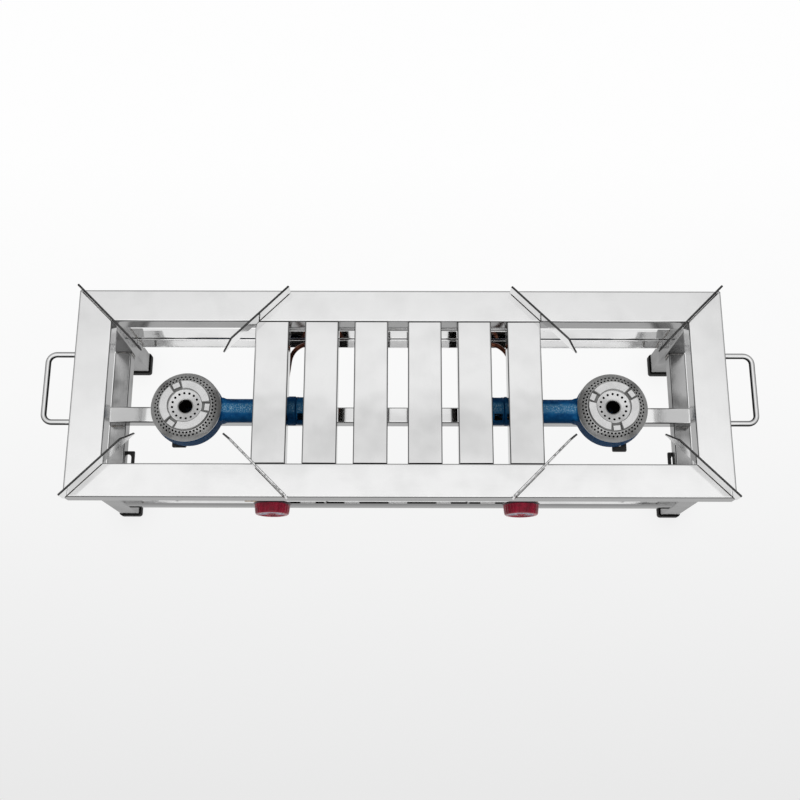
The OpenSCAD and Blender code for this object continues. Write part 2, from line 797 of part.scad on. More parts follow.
// Two plates hang from the front flat bar and hold the manifold
hanger_w = 22;
hanger_t = 3;
hanger_x = 110;
hanger_edge = 5;
module manifold_brackets() {
    low = valve_z - manifold_d / 2 - hanger_edge;
    top = rail_under - ledge_t;
    color(STEEL) at_frame()
        for (s = [-1, 1]) translate([valve_shift + s * hanger_x, manifold_y, 0]) difference() {
            translate([-hanger_t / 2, -manifold_d / 2 - hanger_edge, low])
                cube([hanger_t, manifold_d + 2 * hanger_edge, top - low]);
            translate([-hanger_t, 0, valve_z]) rotate([0, 90, 0])
                cylinder(d = manifold_d + 2 * pipe_play, h = 2 * hanger_t);
        }
}

// Screwed plug in the manifold's right end
plug_depth = 12;
module manifold_plug() {
    color(BRASS) at_frame()
        translate([valve_shift + manifold_l / 2, manifold_y, valve_z]) rotate([0, 90, 0]) {
            translate([0, 0, -plug_depth]) cylinder(d = manifold_bore_d - 2 * pipe_play, h = plug_depth);
            cylinder(d = manifold_d + 2, h = 7, $fn = 6);
        }
}

// Elbow in the manifold's left end, its smooth hose tail pointing down
tail_bore_d = 5;
nozzle_hex = 9;
elbow_d = 16;
module hose_nozzle() {
    chamfer = 1;
    tail_from = elbow_d / 2 + 2;
    tail_end = tail_from + tail_l;
    elbow_x = nozzle_hex + elbow_d / 2;
    color(BRASS) at_frame()
        translate([valve_shift - manifold_l / 2, manifold_y, valve_z]) difference() {
            union() {
                rotate([0, 90, 0]) cylinder(d = manifold_bore_d - 2 * pipe_play, h = plug_depth);
                rotate([0, -90, 0]) cylinder(d = manifold_d + 2, h = nozzle_hex, $fn = 6);
                rotate([0, -90, 0]) cylinder(d = elbow_d - 3, h = elbow_x);
                translate([-elbow_x, 0, 0]) {
                    translate([0, 0, -tail_from]) cylinder(d = elbow_d, h = tail_from + elbow_d / 2);
                    translate([0, 0, -tail_end + chamfer]) cylinder(d = tail_d, h = tail_end - chamfer);
                    translate([0, 0, -tail_end])
                        cylinder(d1 = tail_d - 2 * chamfer, d2 = tail_d, h = chamfer);
                }
            }
            translate([-elbow_x, 0, 0]) rotate([0, 90, 0])
                cylinder(d = tail_bore_d, h = elbow_x + plug_depth + eps);
            translate([-elbow_x, 0, -tail_end - eps]) cylinder(d = tail_bore_d, h = tail_end + eps);
        }
}

// Tap body: barrel, bonnet towards the knob, stub into the manifold, outlet on top
module valve_body(s) {
    bore_l = valve_body_back - valve_body_front - 6;
    color(BRASS) at_frame() translate([tap_x(s), 0, valve_z])
        difference() {
            union() {
                rotate([-90, 0, 0]) {
                    translate([0, 0, valve_body_front])
                        cylinder(r = valve_body_r, h = valve_body_back - valve_body_front);
                    translate([0, 0, valve_body_front - 4.5]) cylinder(r = bonnet_r, h = 4.5 + 1, $fn = 6);
                    translate([0, 0, valve_body_back - 1]) cylinder(r = stub_r, h = valve_gap + 5);
                }
                translate([0, outlet_y, 0]) cylinder(r = 5.5, h = outlet_top - valve_z);
            }
            translate([0, valve_body_front - 5, 0]) rotate([-90, 0, 0])
                cylinder(d = spindle_d + 2 * spindle_play, h = bore_l + 5);
            translate([0, valve_body_front - 5, 0]) rotate([-90, 0, 0]) cylinder(d = 3, h = 60);
            translate([0, outlet_y, 0]) cylinder(d = 3, h = outlet_top);
            translate([0, outlet_y, outlet_top - valve_z - 3 - pipe_play])
                cylinder(d = pipe_d + 2 * pipe_play, h = 10);
        }
}

// The spindle runs from the tap's bore through the knob
module valve_spindle(s) {
    bore_l = valve_body_back - valve_body_front - 6;
    end_y = knob_front_y + 2;
    color(STEEL) at_frame() translate([tap_x(s), end_y, valve_z]) rotate([-90, 0, 0])
        cylinder(d = spindle_d, h = valve_body_front + bore_l - 0.5 - end_y);
}

// Knob with flutes round its tapered side, a sunk ring in its face and a sunk hub
face_ring_r = knob_face_d / 2 - 6;
hub_r = 6;
module knob(s) {
    back_l = 3;
    flute_r = 2;
    color(RED) at_frame() translate([tap_x(s), knob_back_y, valve_z]) rotate([90, 0, 0])
        difference() {
            intersection() {
                linear_extrude(knob_t) difference() {
                    circle(d = knob_d);
                    for (k = [0 : flutes - 1]) rotate([0, 0, 360 * k / flutes])
                        translate([knob_d / 2 + flute_r - 1.1, 0]) circle(flute_r, $fn = 24);
                }
                union() {
                    cylinder(d1 = knob_d - 3, d2 = knob_d, h = back_l);
                    translate([0, 0, back_l]) cylinder(d1 = knob_d, d2 = knob_face_d, h = knob_t - back_l);
                }
            }
            translate([0, 0, -eps]) cylinder(d = spindle_d + 2 * spindle_play, h = knob_t + 2 * eps);
            translate([0, 0, knob_t - 0.8]) difference() {
                cylinder(r = face_ring_r, h = 2);
                translate([0, 0, -eps]) cylinder(r = hub_r, h = 3);
            }
            translate([0, 0, knob_t - 1]) cylinder(r = hub_r - 1, h = 2);
        }
}

// A carry handle: a bent rod welded to the middle of an end rail's outer face
module carry_handle(s) {
    y0 = handle_shift - handle_span / 2;
    y1 = handle_shift + handle_span / 2;
    z = frame_h - rail_h / 2;
    out = half_l + handle_reach;
    points = [[s * half_l, y0, z], [s * out, y0, z], [s * out, y1, z], [s * half_l, y1, z]];
    color(STEEL) at_frame() bent_rod(points, [0, handle_bend_r, handle_bend_r, 0], handle_rod_d);
}

// A slotted plate under the front stretch of each lower side rail
bracket_start = 54;
module slotted_bracket(s) {
    in_x = leg_out_x - side_rail_w - bracket_reach;
    y1 = -leg_in_y + bracket_start;
    cx = in_x + bracket_w / 2 + s * bracket_shift;
    border = (bracket_w - bracket_slot_w) / 2;
    slot_r = bracket_slot_w / 2;
    color(BLACK) at_frame() side(s) translate([0, 0, side_rail_under - bracket_t])
        linear_extrude(bracket_t) difference() {
            translate([-cx - bracket_w / 2, y1 - bracket_l]) square([bracket_w, bracket_l]);
            for (y = [y1 - border - slot_r, y1 - bracket_l + border + slot_r])
                translate([-cx, y]) circle(slot_r);
            translate([-cx - slot_r, y1 - bracket_l + border + slot_r])
                square([bracket_slot_w, bracket_l - 2 * (border + slot_r)]);
        }
}

top_rail_front();
top_rail_back();
top_rail_left();
top_rail_right();
slat(1);  // slat_1
slat(2);  // slat_2
slat(3);  // slat_3
slat(4);  // slat_4
slat(5);  // slat_5
slat(6);  // slat_6
slat_ledges();
pot_support(-1, true, 1);  // support_left_outer_back
pot_support(-1, false, 1);  // support_left_inner_back
pot_support(-1, true, -1);  // support_left_outer_front
pot_support(-1, false, -1);  // support_left_inner_front
pot_support(1, true, 1);  // support_right_outer_back
pot_support(1, false, 1);  // support_right_inner_back
pot_support(1, true, -1);  // support_right_outer_front
pot_support(1, false, -1);  // support_right_inner_front
leg(-1, -1);  // leg_front_left
leg(1, -1);  // leg_front_right
leg(-1, 1);  // leg_back_left
leg(1, 1);  // leg_back_right
foot(-1, -1);  // foot_front_left
foot(1, -1);  // foot_front_right
foot(-1, 1);  // foot_back_left
foot(1, 1);  // foot_back_right
lower_rail_front();
lower_rail_back();
lower_side_rail(-1);  // lower_rail_left
lower_side_rail(1);  // lower_rail_right
burner_bar();
burner_strap(-1);  // burner_strap_left
burner_strap(1);  // burner_strap_right
burner_bolts();
burner_body(-1);  // burner_body_left
burner_body(1);  // burner_body_right
burner_cap(-1);  // burner_cap_left
burner_cap(1);  // burner_cap_right
air_shutter(-1);  // air_shutter_left
air_shutter(1);  // air_shutter_right
injector(-1);  // injector_left
injector(1);  // injector_right
gas_pipe(-1);  // gas_pipe_left
gas_pipe(1);  // gas_pipe_right
pipe_nuts();
manifold();
manifold_brackets();
manifold_plug();
hose_nozzle();
valve_body(-1);  // valve_body_left
valve_body(1);  // valve_body_right
valve_spindle(-1);  // valve_spindle_left
valve_spindle(1);  // valve_spindle_right
knob(-1);  // knob_left
knob(1);  // knob_right
carry_handle(-1);  // carry_handle_left
carry_handle(1);  // carry_handle_right
slotted_bracket(-1);  // slotted_bracket_left
slotted_bracket(1);  // slotted_bracket_right
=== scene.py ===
"""Looks of a two burner stove with stand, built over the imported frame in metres.

The stand is satin stainless box tube. Under its two open wells hang blue cast burners with bare
grey caps, and two dark red knobs stand in front. Each sub-assembly is a class, each finish a small
frozen dataclass, and every rigid piece takes its place from its CAD node's box.
"""

import json
import logging
import math
from dataclasses import dataclass, field, replace
from enum import Enum
from typing import Callable, Iterable, NamedTuple, Optional, Sequence

import bmesh
import bpy
from mathutils import Matrix, Vector, noise
from mathutils.geometry import tessellate_polygon

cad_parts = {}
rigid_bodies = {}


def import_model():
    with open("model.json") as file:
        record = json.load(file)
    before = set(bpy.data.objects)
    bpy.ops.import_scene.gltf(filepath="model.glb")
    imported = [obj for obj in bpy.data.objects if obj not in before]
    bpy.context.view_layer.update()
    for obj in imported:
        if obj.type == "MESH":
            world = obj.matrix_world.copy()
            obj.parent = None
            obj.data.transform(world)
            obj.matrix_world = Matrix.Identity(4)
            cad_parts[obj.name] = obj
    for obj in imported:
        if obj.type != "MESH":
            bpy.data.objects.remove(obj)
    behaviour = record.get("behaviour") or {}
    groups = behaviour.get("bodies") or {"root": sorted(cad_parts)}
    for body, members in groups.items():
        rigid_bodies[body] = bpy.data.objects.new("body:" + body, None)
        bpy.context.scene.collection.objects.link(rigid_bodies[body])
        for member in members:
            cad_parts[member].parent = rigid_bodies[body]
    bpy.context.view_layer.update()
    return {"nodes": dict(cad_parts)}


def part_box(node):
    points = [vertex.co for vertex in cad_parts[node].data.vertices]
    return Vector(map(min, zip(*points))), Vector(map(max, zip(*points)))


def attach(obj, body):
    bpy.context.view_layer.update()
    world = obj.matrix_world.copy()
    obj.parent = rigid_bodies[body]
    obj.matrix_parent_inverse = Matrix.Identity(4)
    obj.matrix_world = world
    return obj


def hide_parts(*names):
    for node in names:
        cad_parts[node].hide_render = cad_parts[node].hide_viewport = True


LOG = logging.getLogger("stove")
MM = 0.001
UP = Vector((0, 0, 1))
ORIGIN = Matrix.Identity(4)
# The box tubes' wall and how deep an open end is hollow, in millimetres.
TUBE_WALL = 1.5
TUBE_DEPTH = 90.0
# Points round each weld bead.
BEAD_STEPS = 8

Loop = list[Vector]
Outline = list[tuple[float, float]]
Socket = bpy.types.NodeSocket
Stops = Sequence[tuple[float, str | float]]


def mm(*values: float) -> Vector:
    """Returns: A point given in millimetres, in metres."""
    return Vector(values) * MM


def spin(degrees: float, axis: str = "Z") -> Matrix:
    """Returns: A turn about an axis through the origin."""
    return Matrix.Rotation(math.radians(degrees), 4, axis)


def shift(x: float, y: float, z: float) -> Matrix:
    """Returns: A move by three lengths in millimetres."""
    return Matrix.Translation(mm(x, y, z))


def linear(code: str | float) -> tuple[float, float, float, float]:
    """Turns an sRGB hex colour into linear light.

    Args:
        code: A colour such as "#a0b1c2", or a grey level that is linear already.

    Returns:
        Red, green, blue and an alpha of one.
    """
    if not isinstance(code, str):
        return (code, code, code, 1.0)
    channels = [int(code[i:i + 2], 16) / 255 for i in (1, 3, 5)]
    red, green, blue = [c / 12.92 if c <= 0.04045 else ((c + 0.055) / 1.055) ** 2.4 for c in channels]
    return (red, green, blue, 1.0)


class Axis(Enum):
    """The long direction of a piece."""

    X = 0
    Y = 1
    Z = 2


class Side(Enum):
    """The stove's left or right half, as a sign on X."""

    LEFT = -1
    RIGHT = 1

    @property
    def word(self) -> str:
        """Returns: The side's name as the CAD nodes spell it."""
        return self.name.lower()


class Row(Enum):
    """The stove's front or back, as the CAD nodes spell it."""

    FRONT = "front"
    BACK = "back"


class Corner(Enum):
    """The corner of its well that a pot support stands at, as the CAD nodes spell it."""

    OUTER = "outer"
    INNER = "inner"


class Grain(NamedTuple):
    """A noise pattern by the real size of its grains."""

    size_mm: float
    detail: float = 3.0
    stretch: tuple[float, float, float] = (1.0, 1.0, 1.0)
    seed: float = 0.0


class Graph:
    """A material's or world's node tree with one way to add a node."""

    def __init__(self, tree: bpy.types.NodeTree) -> None:
        """Takes a node tree and empties it."""
        self.tree = tree
        tree.nodes.clear()

    def add(self, kind: str, inputs: Optional[dict] = None, out: int | str = 0, stops: Stops = (),
            **settings: object) -> Socket:
        """Adds one node with its settings and links.

        Args:
            kind: The node's type name without "ShaderNode".
            inputs: Input name or place to a constant, a hex colour or another node's output.
            out: The output to return, by place or name.
            stops: A ramp's places from 0 to 1, each with a hex colour or a grey level.
            settings: Properties of the node itself.

        Returns:
            The chosen output, or the first input if the node has no output.
        """
        node = self.tree.nodes.new(f"ShaderNode{kind}")
        for key, value in settings.items():
            setattr(node, key, value)
        for key, value in (inputs or {}).items():
            if isinstance(value, Socket):
                self.tree.links.new(value, node.inputs[key])
            else:
                node.inputs[key].default_value = linear(value) if isinstance(value, str) else value
        if stops:
            elements = node.color_ramp.elements
            while len(elements) < len(stops):
                elements.new(0.5)
            for element, (place, value) in zip(elements, stops):
                element.position = place
                element.color = linear(value)
        return node.outputs[out] if node.outputs else node.inputs[0]

    def pattern(self, place: Socket, grain: Grain) -> Socket:
        """Lays noise with grains of a real size.

        Args:
            place: The coordinate in metres that drives it.
            grain: Its size, detail, stretch and seed.

        Returns:
            The noise's factor.
        """
        scale = tuple(1 / s for s in grain.stretch)
        moved = self.add("Mapping", {"Vector": place, "Scale": scale, "Location": (grain.seed,) * 3})
        return self.add("TexNoise", {"Vector": moved, "Scale": 1000 / grain.size_mm, "Detail": grain.detail})

    def facing(self) -> Socket:
        """Finds which way a face looks.

        Returns:
            0 for straight down, 0.5 for upright, 1 for straight up.
        """
        normal = self.add("NewGeometry", out="Normal")
        up = self.add("SeparateXYZ", {"Vector": normal}, "Z")
        return self.add("Math", {0: up, 1: 0.5, 2: 0.5}, operation="MULTIPLY_ADD")

    def tinted(self, colour: Socket | str, tint: Socket | str, *masks: tuple[Socket, Stops]) -> Socket:
        """Lays a tint over a colour where every mask lets it.

        Args:
            colour: The colour below.
            tint: The colour on top.
            masks: Each the value that drives it and the ramp that turns that into a share.

        Returns:
            The mixed colour.
        """
        share: Optional[Socket] = None
        for driver, stops in masks:
            mask = self.add("ValToRGB", {"Fac": driver}, stops=stops)
            share = mask if share is None else self.add("Math", {0: share, 1: mask}, operation="MULTIPLY")
        return self.add("Mix", {0: share, 6: colour, 7: tint}, 2, data_type="RGBA")

    def relief(self, *layers: tuple[Socket, float, float]) -> Socket:
        """Stacks bumps.

        Args:
            layers: Each the value that drives it, its strength and its depth in millimetres.

        Returns:
            The bent normal.
        """
        below: dict = {}
        for height, strength, depth in layers:
            bent = self.add("Bump", {"Height": height, "Strength": strength, "Distance": depth * MM, **below})
            below = {"Normal": bent}
        return bent


@dataclass(frozen=True)
class Finish:
    """A surface made of a real material by a real process."""

    name: str

    def material(self) -> bpy.types.Material:
        """Returns: The finish's material, made the first time it is asked for."""
        found = bpy.data.materials.get(self.name)
        if found is not None:
            return found
        made = bpy.data.materials.new(self.name)
        made.use_nodes = True
        graph = Graph(made.node_tree)
        place = graph.add("TexCoord", out="Object")
        shader = graph.add("BsdfPrincipled", self.surface(graph, place))
        graph.add("OutputMaterial", {"Surface": shader})
        return made

    def surface(self, graph: Graph, place: Socket) -> dict:
        """Describes the surface.

        Args:
            graph: The material's nodes.
            place: The object coordinate.

        Returns:
            Input names of the shader to constants or sockets.
        """
        raise NotImplementedError


@dataclass(frozen=True)
class SatinSteel(Finish):
    """Stainless tube polished along its length: soft long streaks and cloudy reflections.

    The streaks give the eye the direction of the tube, the clouds keep flat faces from looking
    like paper, and the low waves bend what they mirror as thin rolled sheet does. Light and shade
    are painted into the colour by which way a face looks: level tops, rounded edges, upright sides
    and undersides each get a tone of their own, which stands for what polished steel would mirror
    there, so the rounded edges draw dark.
    Real polishing lines are far under 0.1 mm. They are drawn coarser here so that they show.
    """

    grain: Axis = Axis.X
    # Painted light and shade by which way a face looks: top for level faces, edge for rounded edges, side for
    # upright faces, under for undersides.
    top: str = "#ebebeb"
    edge: str = "#484848"
    side: str = "#929292"
    under: str = "#c4c4c4"
    rough: float = 0.16
    wave_mm: float = 0.7
    cloud: float = 0.08
    specks: float = 0.0
    graze: float = 1.0

    def surface(self, graph: Graph, place: Socket) -> dict:
        """Describes polished steel.

        Args:
            graph: The material's nodes.
            place: The object coordinate.

        Returns:
            Input names of the shader to constants or sockets.
        """
        along = tuple(60.0 if axis is self.grain else 1.0 for axis in Axis)
        streaks = graph.pattern(place, Grain(0.7, 4, along))
        fine = graph.pattern(place, Grain(0.25, 2, along, 3))
        clouds = graph.pattern(place, Grain(55, 3, seed=7))
        waves = graph.pattern(place, Grain(60, 1, seed=11))
        facing = graph.facing()
        # Painted light and shade: the colour follows which way the face looks.
        skin = graph.add("ValToRGB", {"Fac": facing}, stops=(
            (0.25, self.under), (0.45, self.side), (0.58, self.side), (0.85, self.edge), (0.97, self.top)))
        tone = graph.add("Math", {0: clouds, 1: 0.88}, operation="MULTIPLY")
        tone = graph.add("Math", {0: streaks, 1: 0.12, 2: tone}, operation="MULTIPLY_ADD")
        colour = graph.tinted(skin, "#2a2a2a", (tone, ((0.36, self.cloud), (0.56, 0.0))))
        if self.specks:
            torn = graph.pattern(place, Grain(3.5, 3, seed=17))
            colour = graph.tinted(colour, "#2c2b2a", (torn, ((0.53, 0.0), (0.6, self.specks))),
                                  (facing, ((0.6, 0.0), (0.8, 1.0))))
        rough = graph.add("MapRange", {"Value": clouds, "From Min": 0.35, "From Max": 0.65,
                                       "To Min": self.rough * 0.8, "To Max": self.rough * 1.3})
        return {"Base Color": colour, "Metallic": 1.0, "Roughness": rough,
                "Normal": graph.relief((waves, 0.5, self.wave_mm), (fine, 0.08, 0.01)),
                "Specular Tint": (self.graze, self.graze, self.graze, 1.0)}


@dataclass(frozen=True)
class BlueCasting(Finish):
    """Sand-cast iron under thick blue stove paint, pebbled, with painted shade down its sides and a painted
    highlight and painted glints where it looks up.

    The pebbles are the paint's own, about 2 mm wide. The sand under it is finer than 0.3 mm and is
    drawn at 0.7 mm so that it shows.
    """

    def surface(self, graph: Graph, place: Socket) -> dict:
        """Describes painted casting.

        Args:
            graph: The material's nodes.
            place: The object coordinate.

        Returns:
            Input names of the shader to constants or sockets.
        """
        pebbles = graph.pattern(place, Grain(2.2, 4))
        sand = graph.pattern(place, Grain(0.7, 2, seed=4))
        patches = graph.pattern(place, Grain(16, 3, seed=9))
        painted_glints = graph.pattern(place, Grain(1.5, 2, seed=13))
        facing = graph.facing()
        colour = graph.add("ValToRGB", {"Fac": patches}, stops=(
            (0.34, "#0c4072"), (0.52, "#145691"), (0.68, "#2170ad")))
        colour = graph.tinted(colour, "#4a93c6", (pebbles, ((0.58, 0.0), (0.74, 0.45))))
        # Painted shade down the sides, then a painted highlight and painted glints on faces that look up.
        colour = graph.tinted(colour, "#07436f", (facing, ((0.62, 1.0), (0.92, 0.0))))
        colour = graph.tinted(colour, "#3a88bd", (facing, ((0.93, 0.0), (0.985, 0.7))))
        colour = graph.tinted(colour, "#a9d3ea", (painted_glints, ((0.5, 0.0), (0.62, 0.85))),
                              (facing, ((0.95, 0.0), (0.995, 1.0))))
        return {"Base Color": colour, "Metallic": 0.0, "Roughness": 0.5, "Specular IOR Level": 0.03,
                "Normal": graph.relief((pebbles, 0.55, 0.55), (sand, 0.35, 0.18))}


@dataclass(frozen=True)
class BareCasting(Finish):
    """Bead-blasted cast metal left bare, with a fine shiny grain: bright level lands, and slopes painted
    greyer as shade.

    Blasting leaves pits near 0.2 mm. They are drawn at 0.8 mm so that they show.
    """

    level: str = "#e6e6e6"
    slope: str = "#b2b2b1"

    def surface(self, graph: Graph, place: Socket) -> dict:
        """Describes the burner caps.

        Args:
            graph: The material's nodes.
            place: The object coordinate.

        Returns:
            Input names of the shader to constants or sockets.
        """
        grain = graph.pattern(place, Grain(0.8))
        stain = graph.pattern(place, Grain(14, seed=2))
        # Painted shade: slopes greyer than level lands.
        colour = graph.tinted(self.level, self.slope, (graph.facing(), ((0.93, 1.0), (0.98, 0.0))))
        colour = graph.tinted(colour, "#7c7c7b", (stain, ((0.32, 0.14), (0.6, 0.0))))
        colour = graph.tinted(colour, "#8a8a89", (grain, ((0.3, 0.3), (0.55, 0.0))))
        return {"Base Color": colour, "Metallic": 0.75, "Roughness": 0.3,
                "Normal": graph.relief((grain, 0.4, 0.12))}


@dataclass(frozen=True)
class Patchy(Finish):
    """A material whose tone and shine wander in patches, over a relief of finer grains.

    The patches keep its faces from looking flat, and the relief breaks up its highlights. Real
    pores, tool rings and drawing lines are finer than 0.3 mm. Their grains here are 0.4 mm and
    more so that they show.
    """

    tones: Stops
    patches: Grain
    shine: float | Stops
    metallic: float = 0.0
    specular: Optional[float] = None
    skin: Optional[Grain] = None
    strength: float = 0.0
    depth_mm: float = 0.0

    def surface(self, graph: Graph, place: Socket) -> dict:
        """Describes the material.

        Args:
            graph: The material's nodes.
            place: The object coordinate.

        Returns:
            Input names of the shader to constants or sockets.
        """
        wander = graph.pattern(place, self.patches)
        found = {"Base Color": graph.add("ValToRGB", {"Fac": wander}, stops=self.tones),
                 "Metallic": self.metallic, "Roughness": self.shine}
        if not isinstance(self.shine, float):
            found["Roughness"] = graph.add("ValToRGB", {"Fac": wander}, stops=self.shine)
        if self.specular is not None:
            found["Specular IOR Level"] = self.specular
        if self.skin is not None:
            found["Normal"] = graph.relief((graph.pattern(place, self.skin), self.strength, self.depth_mm))
        return found


# Polished box tube: its long streaks show which way each rail, leg and slat runs. In every steel finish
# below, the top, edge, side and under tones are painted light and shade.
TUBE_X = SatinSteel("stainless_tube_polished_along_x", side="#a4a4a4", under="#ffffff", graze=0.76)
TUBE_Y = SatinSteel("stainless_tube_polished_along_y", Axis.Y, side="#a0a0a0", under="#dcdcdc")
TUBE_Z = SatinSteel("stainless_tube_polished_upright", Axis.Z, side="#a4a4a4", wave_mm=1.5, cloud=0.4,
                    graze=0.68)
# The slats' undersides are painted near black as shade, which the bright steel below mirrors.
SLAT = SatinSteel("stainless_slat_polished_along_y", Axis.Y, top="#e1e1e1", side="#8a8a8a", under="#1c1a19",
                  rough=0.08)
# Tube under the top frame: wavier and cloudier, and painted darker all over and darkest at its edges, as the
# shade it sits in.
SHADED_TUBE_Y = SatinSteel("stainless_tube_mill_skin_along_y", Axis.Y, top="#b4b4b4", edge="#303030", side="#969696",
                    wave_mm=1.5, cloud=0.6, graze=0.8)
# Bright bar and angle: nearly a mirror, so that its neighbours show in it.
BAR = SatinSteel("stainless_bar_bright_polished", side="#8a8a8a", under="#c8c8c8", rough=0.07, wave_mm=0.6)
FRONT_ANGLE = SatinSteel("stainless_front_angle_bright", side="#9c9c9c", rough=0.045, wave_mm=0.5, graze=0.47)
# The back angle's top and upright faces are painted near white, as painted reflections.
BACK_ANGLE = SatinSteel("stainless_back_angle_bright", top="#ffffff", edge="#707070", side="#e4e4e4",
                        rough=0.045, wave_mm=0.5)
# Flat bar with a mill finish: dull enough to blur what lies over it.
LEDGE = SatinSteel("stainless_flat_bar_mill_finish", side="#8a8a8a", under="#ffffff", rough=0.45)
# Sheared strip: torn dark specks along its top edge, or the whole top edge dark. Their upright faces are
# painted bright and their rounded edges dark, as painted reflections.
STRIP = SatinSteel("stainless_strip_sheared_edges", Axis.Z, top="#dedede", edge="#1c1c1c", side="#dcdcdc",
                   rough=0.14, cloud=0.15, specks=0.6)
DARK_STRIP = SatinSteel("stainless_strip_scorched_top_edge", Axis.Z, top="#4c4c4c", edge="#1c1c1c",
                        side="#ececec", rough=0.12, cloud=0.12, specks=0.4)
# Polished rod: flanks painted dark beside one bright line on top, as painted reflections.
ROD = SatinSteel("stainless_rod_polished", Axis.Y, edge="#1c1c1c", side="#242424", rough=0.09, wave_mm=0.1)
# Weld beads left as they froze: ripples, with straw and violet heat tint beside grey.
WELD = Patchy("stainless_weld_bead_heat_tinted",
              ((0.35, "#6f6e6e"), (0.5, "#93918f"), (0.62, "#817c76"), (0.72, "#646267")), Grain(9), 0.42,
              metallic=1.0, skin=Grain(0.8, seed=5), strength=0.5, depth_mm=0.15)
# The thin beads at the pot supports, painted near black as the contact shadow along the strips' feet.
FOOT_SHADOW_WELD = replace(WELD, name="stainless_weld_bead_dark_scale",
                tones=((0.35, "#2e2c2b"), (0.5, "#45423f"), (0.62, "#3a3632"), (0.72, "#4c4849")))
BLUE = BlueCasting("iron_sand_cast_blue_paint")
CAP = BareCasting("cap_metal_cast_bead_blasted")
# The level land between the cap's arcs, painted dark as the shade in the grooves, so that the arcs stand out.
GROOVE_SHADE = BareCasting("cap_metal_as_cast_in_grooves", level="#6c6c6b", slope="#6c6c6b")
# Near black with a little grey, and no shine: burnt metal and painted shade in the flame ports, and painted
# shade inside the bowl and the mixing tube's bore.
SOOT_AND_SHADE = Patchy("cap_metal_burnt_in_ports", ((0.35, "#060606"), (0.7, "#1d1c1b")), Grain(1.5), 0.9,
              specular=0.2)
# A near-black plate on the ledges under each slat, as the slats' painted shadow.
SLAT_SHADOW = replace(SOOT_AND_SHADE, name="steel_weld_scale_under_slats")
# Black paint on flat steel: thin in places and a little dusty.
BLACK = Patchy("steel_flat_black_painted", ((0.35, "#161616"), (0.7, "#2c2b2a")), Grain(12, seed=6),
               ((0.3, 0.32), (0.7, 0.55)), skin=Grain(1.6), strength=0.25, depth_mm=0.1)
# Moulded rubber: soft sheen, fine pores and grey scuffs.
RUBBER = Patchy("rubber_moulded_black", ((0.4, "#0c0c0c"), (0.75, "#232221")), Grain(7, 4, seed=8), 0.62,
                specular=0.15, skin=Grain(0.9), strength=0.2, depth_mm=0.08)
# Drawn copper pipe: brown oxide and brighter rubbed stretches.
COPPER = Patchy("copper_pipe_drawn_oxidised", ((0.35, "#2e1a15"), (0.52, "#553125"), (0.7, "#8a5a44")),
                Grain(11, 4), ((0.35, 0.42), (0.7, 0.26)), metallic=1.0, skin=Grain(0.5, 2, (1, 20, 1), 3),
                strength=0.15, depth_mm=0.04)
# Turned brass: warm yellow with darker handling marks and fine tool rings.
BRASS = Patchy("brass_turned", ((0.35, "#8d6f3a"), (0.6, "#c2a05c")), Grain(6, 4), 0.32, metallic=1.0,
               skin=Grain(0.4, 2, (1, 1, 8), 5), strength=0.12, depth_mm=0.04)
# Zinc plate: cool grey with a faint rainbow.
ZINC = Patchy("steel_zinc_plated", ((0.35, "#a3a6aa"), (0.55, "#bdbbb2"), (0.7, "#a9a4b0")), Grain(5), 0.33,
              metallic=1.0, skin=Grain(0.5, 2, seed=4), strength=0.15, depth_mm=0.04)
# Moulded plastic: glossy dark red with faint flow marks. The flange is painted darker, as shade.
RED = Patchy("plastic_moulded_dark_red", ((0.35, "#84122c"), (0.65, "#ab1a3a")), Grain(9, 3, (1, 1, 3)),
             ((0.3, 0.14), (0.75, 0.28)), specular=0.2, skin=Grain(1.4, 2, seed=5), strength=0.12,
             depth_mm=0.06)
SHADED_FLANGE = replace(RED, name="plastic_moulded_red_grimed_flange", tones=((0.35, "#220814"), (0.65, "#4a1026")))
# Spun foil on the knob's face: pale violet grey with rubbed patches.
FOIL = Patchy("foil_spun_pale_violet", ((0.38, "#473850"), (0.5, "#6e6484"), (0.66, "#a29bb8")),
              Grain(3.2, 4), 0.34, metallic=0.7, skin=Grain(0.4, 2, seed=2), strength=0.15, depth_mm=0.04)
# Printed ink: matt and dark, for plain marks.
INK = Patchy("ink_printed_dark", ((0.35, "#1c1418"), (0.7, "#3a2b33")), Grain(1.2), 0.5)


def offset(outline: Outline, inwards: float) -> Outline:
    """Moves each edge of a counter-clockwise outline inwards.

    Args:
        outline: Points in millimetres.
        inwards: The distance, negative for outwards.

    Returns:
        As many points.
    """
    moved: Outline = []
    for (x0, y0), (x, y), (x1, y1) in zip(outline[-1:] + outline[:-1], outline, outline[1:] + outline[:1]):
        before, after = Vector((x - x0, y - y0)).normalized(), Vector((x1 - x, y1 - y)).normalized()
        left = Vector((-before.y - after.y, before.x + after.x))
        share = 1 + before.dot(after)
        moved.append((x + left.x * inwards / share, y + left.y * inwards / share))
    return moved


def arc(cx: float, cy: float, r: float, start: float, end: float, steps: int) -> Outline:
    """Points on an arc.

    Args:
        cx: The middle's first coordinate.
        cy: The middle's second coordinate.
        r: Radius.
        start: First angle in degrees.
        end: Last angle in degrees.
        steps: How many stretches it has.

    Returns:
        One point more than the stretches.
    """
    angles = [math.radians(start + (end - start) * k / steps) for k in range(steps + 1)]
    return [(cx + r * math.cos(a), cy + r * math.sin(a)) for a in angles]


def circle(r: float, steps: int, cx: float = 0.0, cy: float = 0.0) -> Outline:
    """Returns: A full circle about a middle, counter-clockwise."""
    return arc(cx, cy, r, 0, 360, steps)[:-1]


